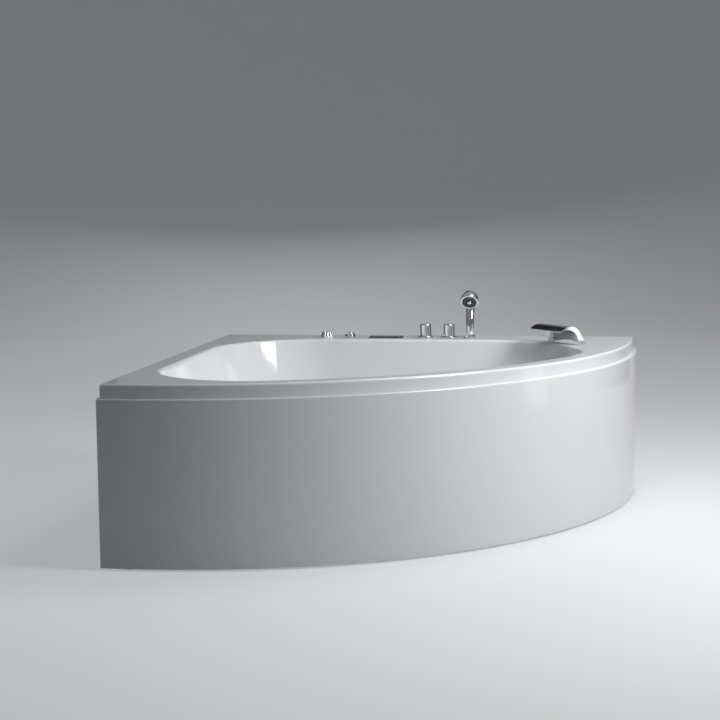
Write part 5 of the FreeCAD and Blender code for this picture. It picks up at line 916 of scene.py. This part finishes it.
# %% Stage, the paint
def seen_directly(tree):
    """A socket that is 1 for rays from the camera, also after a mirror or a glass, and 0 for light on its way."""
    seen = tree.nodes.new("ShaderNodeLightPath")
    plainly = seen.outputs["Is Camera Ray"]
    for ray in ("Is Glossy Ray", "Is Transmission Ray"):
        either = tree.nodes.new("ShaderNodeMath")
        either.operation = "MAXIMUM"
        tree.links.new(plainly, either.inputs[0])
        tree.links.new(seen.outputs[ray], either.inputs[1])
        plainly = either.outputs[0]
    return plainly


cove_finish = finish("cove_paint", (0.47, 0.474, 0.48), (0.45, 0.454, 0.46), (0.85, 0.9), 40.0, 0.5, 0.0)
tree = cove_finish.node_tree
place = tree.nodes.new("ShaderNodeTexCoord")
far = tree.nodes.new("ShaderNodeVectorMath")
far.operation = "LENGTH"
falling = tree.nodes.new("ShaderNodeMapRange")
near_far, glow_near_far = (1.5, 9.0), (0.36, 0.12)
for socket, value in zip(("From Min", "From Max", "To Min", "To Max"), near_far + glow_near_far):
    falling.inputs[socket].default_value = value
lift = tree.nodes.new("ShaderNodeMath")
lift.operation = "MULTIPLY"
tree.links.new(place.outputs["Object"], far.inputs[0])
tree.links.new(far.outputs["Value"], falling.inputs["Value"])
tree.links.new(falling.outputs["Result"], lift.inputs[0])
tree.links.new(seen_directly(tree), lift.inputs[1])
cove_shader = tree.nodes["Principled BSDF"]
cove_shader.inputs["Emission Color"].default_value = (0.97, 0.985, 1.0, 1.0)
tree.links.new(lift.outputs[0], cove_shader.inputs["Emission Strength"])
cove.data.materials.append(cove_finish)
print("cove paint:", len(tree.nodes), "nodes")

# %% [markdown]
# ## Light
# One large soft lamp to the right of the camera draws the apron's roundness, from grey at the left end to white at
# the right. One overhead brightens the deck and the basin, and most of all the deck's right end. Distant ones on the
# left and behind keep the shadows open. The end of the spout mirrors a small lamp of its own, low on the right,
# which lights nothing that is matt.

# %% Light
def softbox(name, place, target, size, power):
    """A square area lamp that looks at a point."""
    bpy.ops.object.light_add(type="AREA", location=place)
    lamp = bpy.context.object
    lamp.name = name
    lamp.data.shape = "SQUARE"
    lamp.data.size = size
    lamp.data.energy = power
    lamp.visible_camera = False
    lamp.rotation_euler = (Vector(target) - Vector(place)).to_track_quat("-Z", "Y").to_euler()
    return lamp


softbox("key_right", (2.0, -0.75, 1.9), (0.1, 0.0, 0.3), 0.9, 45.0)
softbox("top_soft", (0.8, 0.45, 2.4), (0.7, 0.4, 0.5), 1.1, 21.0)
softbox("fill_left", (-3.2, -5.0, 3.6), (0.0, 0.0, 0.4), 3.0, 3.0)
softbox("back_soft", (-1.8, 7.5, 3.0), (0.0, 0.6, 0.3), 3.0, 65.0).visible_glossy = False
softbox("gleam_right", (3.2, 0.33, 0.28), (0.5, 0.45, 0.5), 0.5, 0.9).visible_diffuse = False

# %% [markdown]
# ## Sky and cards
# A pale sky fills the rest. To the camera and in the chrome it looks paler than the light that it sheds. Chrome shows
# what stands around it, so three dark cards draw the edges of knobs and handset and darken the top of the spout. Only
# mirrors see them.

# %% Sky
world = bpy.data.worlds.new("pale_sky")
scene.world = world
world.use_nodes = True
sky = world.node_tree.nodes["Background"]
sky.inputs["Color"].default_value = (0.88, 0.92, 0.97, 1.0)
shed, seen_more = 0.11, 0.24
strength = world.node_tree.nodes.new("ShaderNodeMath")
strength.operation = "MULTIPLY_ADD"
strength.inputs[1].default_value = seen_more
strength.inputs[2].default_value = shed
world.node_tree.links.new(seen_directly(world.node_tree), strength.inputs[0])
world.node_tree.links.new(strength.outputs[0], sky.inputs["Strength"])
print("sky:", world.name)

# %% Cards
card_size = (1.6, 2.4, 2.4)
card_grey = finish("card_grey", (0.085, 0.087, 0.09), (0.07, 0.072, 0.075), (0.7, 0.8), 40.0, 1.0, 0.0)
for name, place, tip, turn in (("dark_card_left", (-2.4, 2.0, 1.0), 90.0, 52.0),
                               ("dark_card_right", (2.6, 3.0, 1.0), 90.0, -38.0),
                               ("dark_card_top", (-0.9, 4.2, 2.6), 115.0, 8.0)):
    bpy.ops.mesh.primitive_plane_add(size=1.0, location=place, rotation=(math.radians(tip), 0.0, math.radians(turn)))
    card = bpy.context.object
    card.name = name
    bpy.ops.object.mode_set(mode="EDIT")
    bpy.ops.transform.resize(value=card_size)
    bpy.ops.object.mode_set(mode="OBJECT")
    bpy.ops.object.transform_apply(location=True, rotation=True, scale=True)
    card.visible_camera = card.visible_diffuse = card.visible_shadow = card.visible_transmission = False
    card.data.materials.append(card_grey)
    print("card:", name)
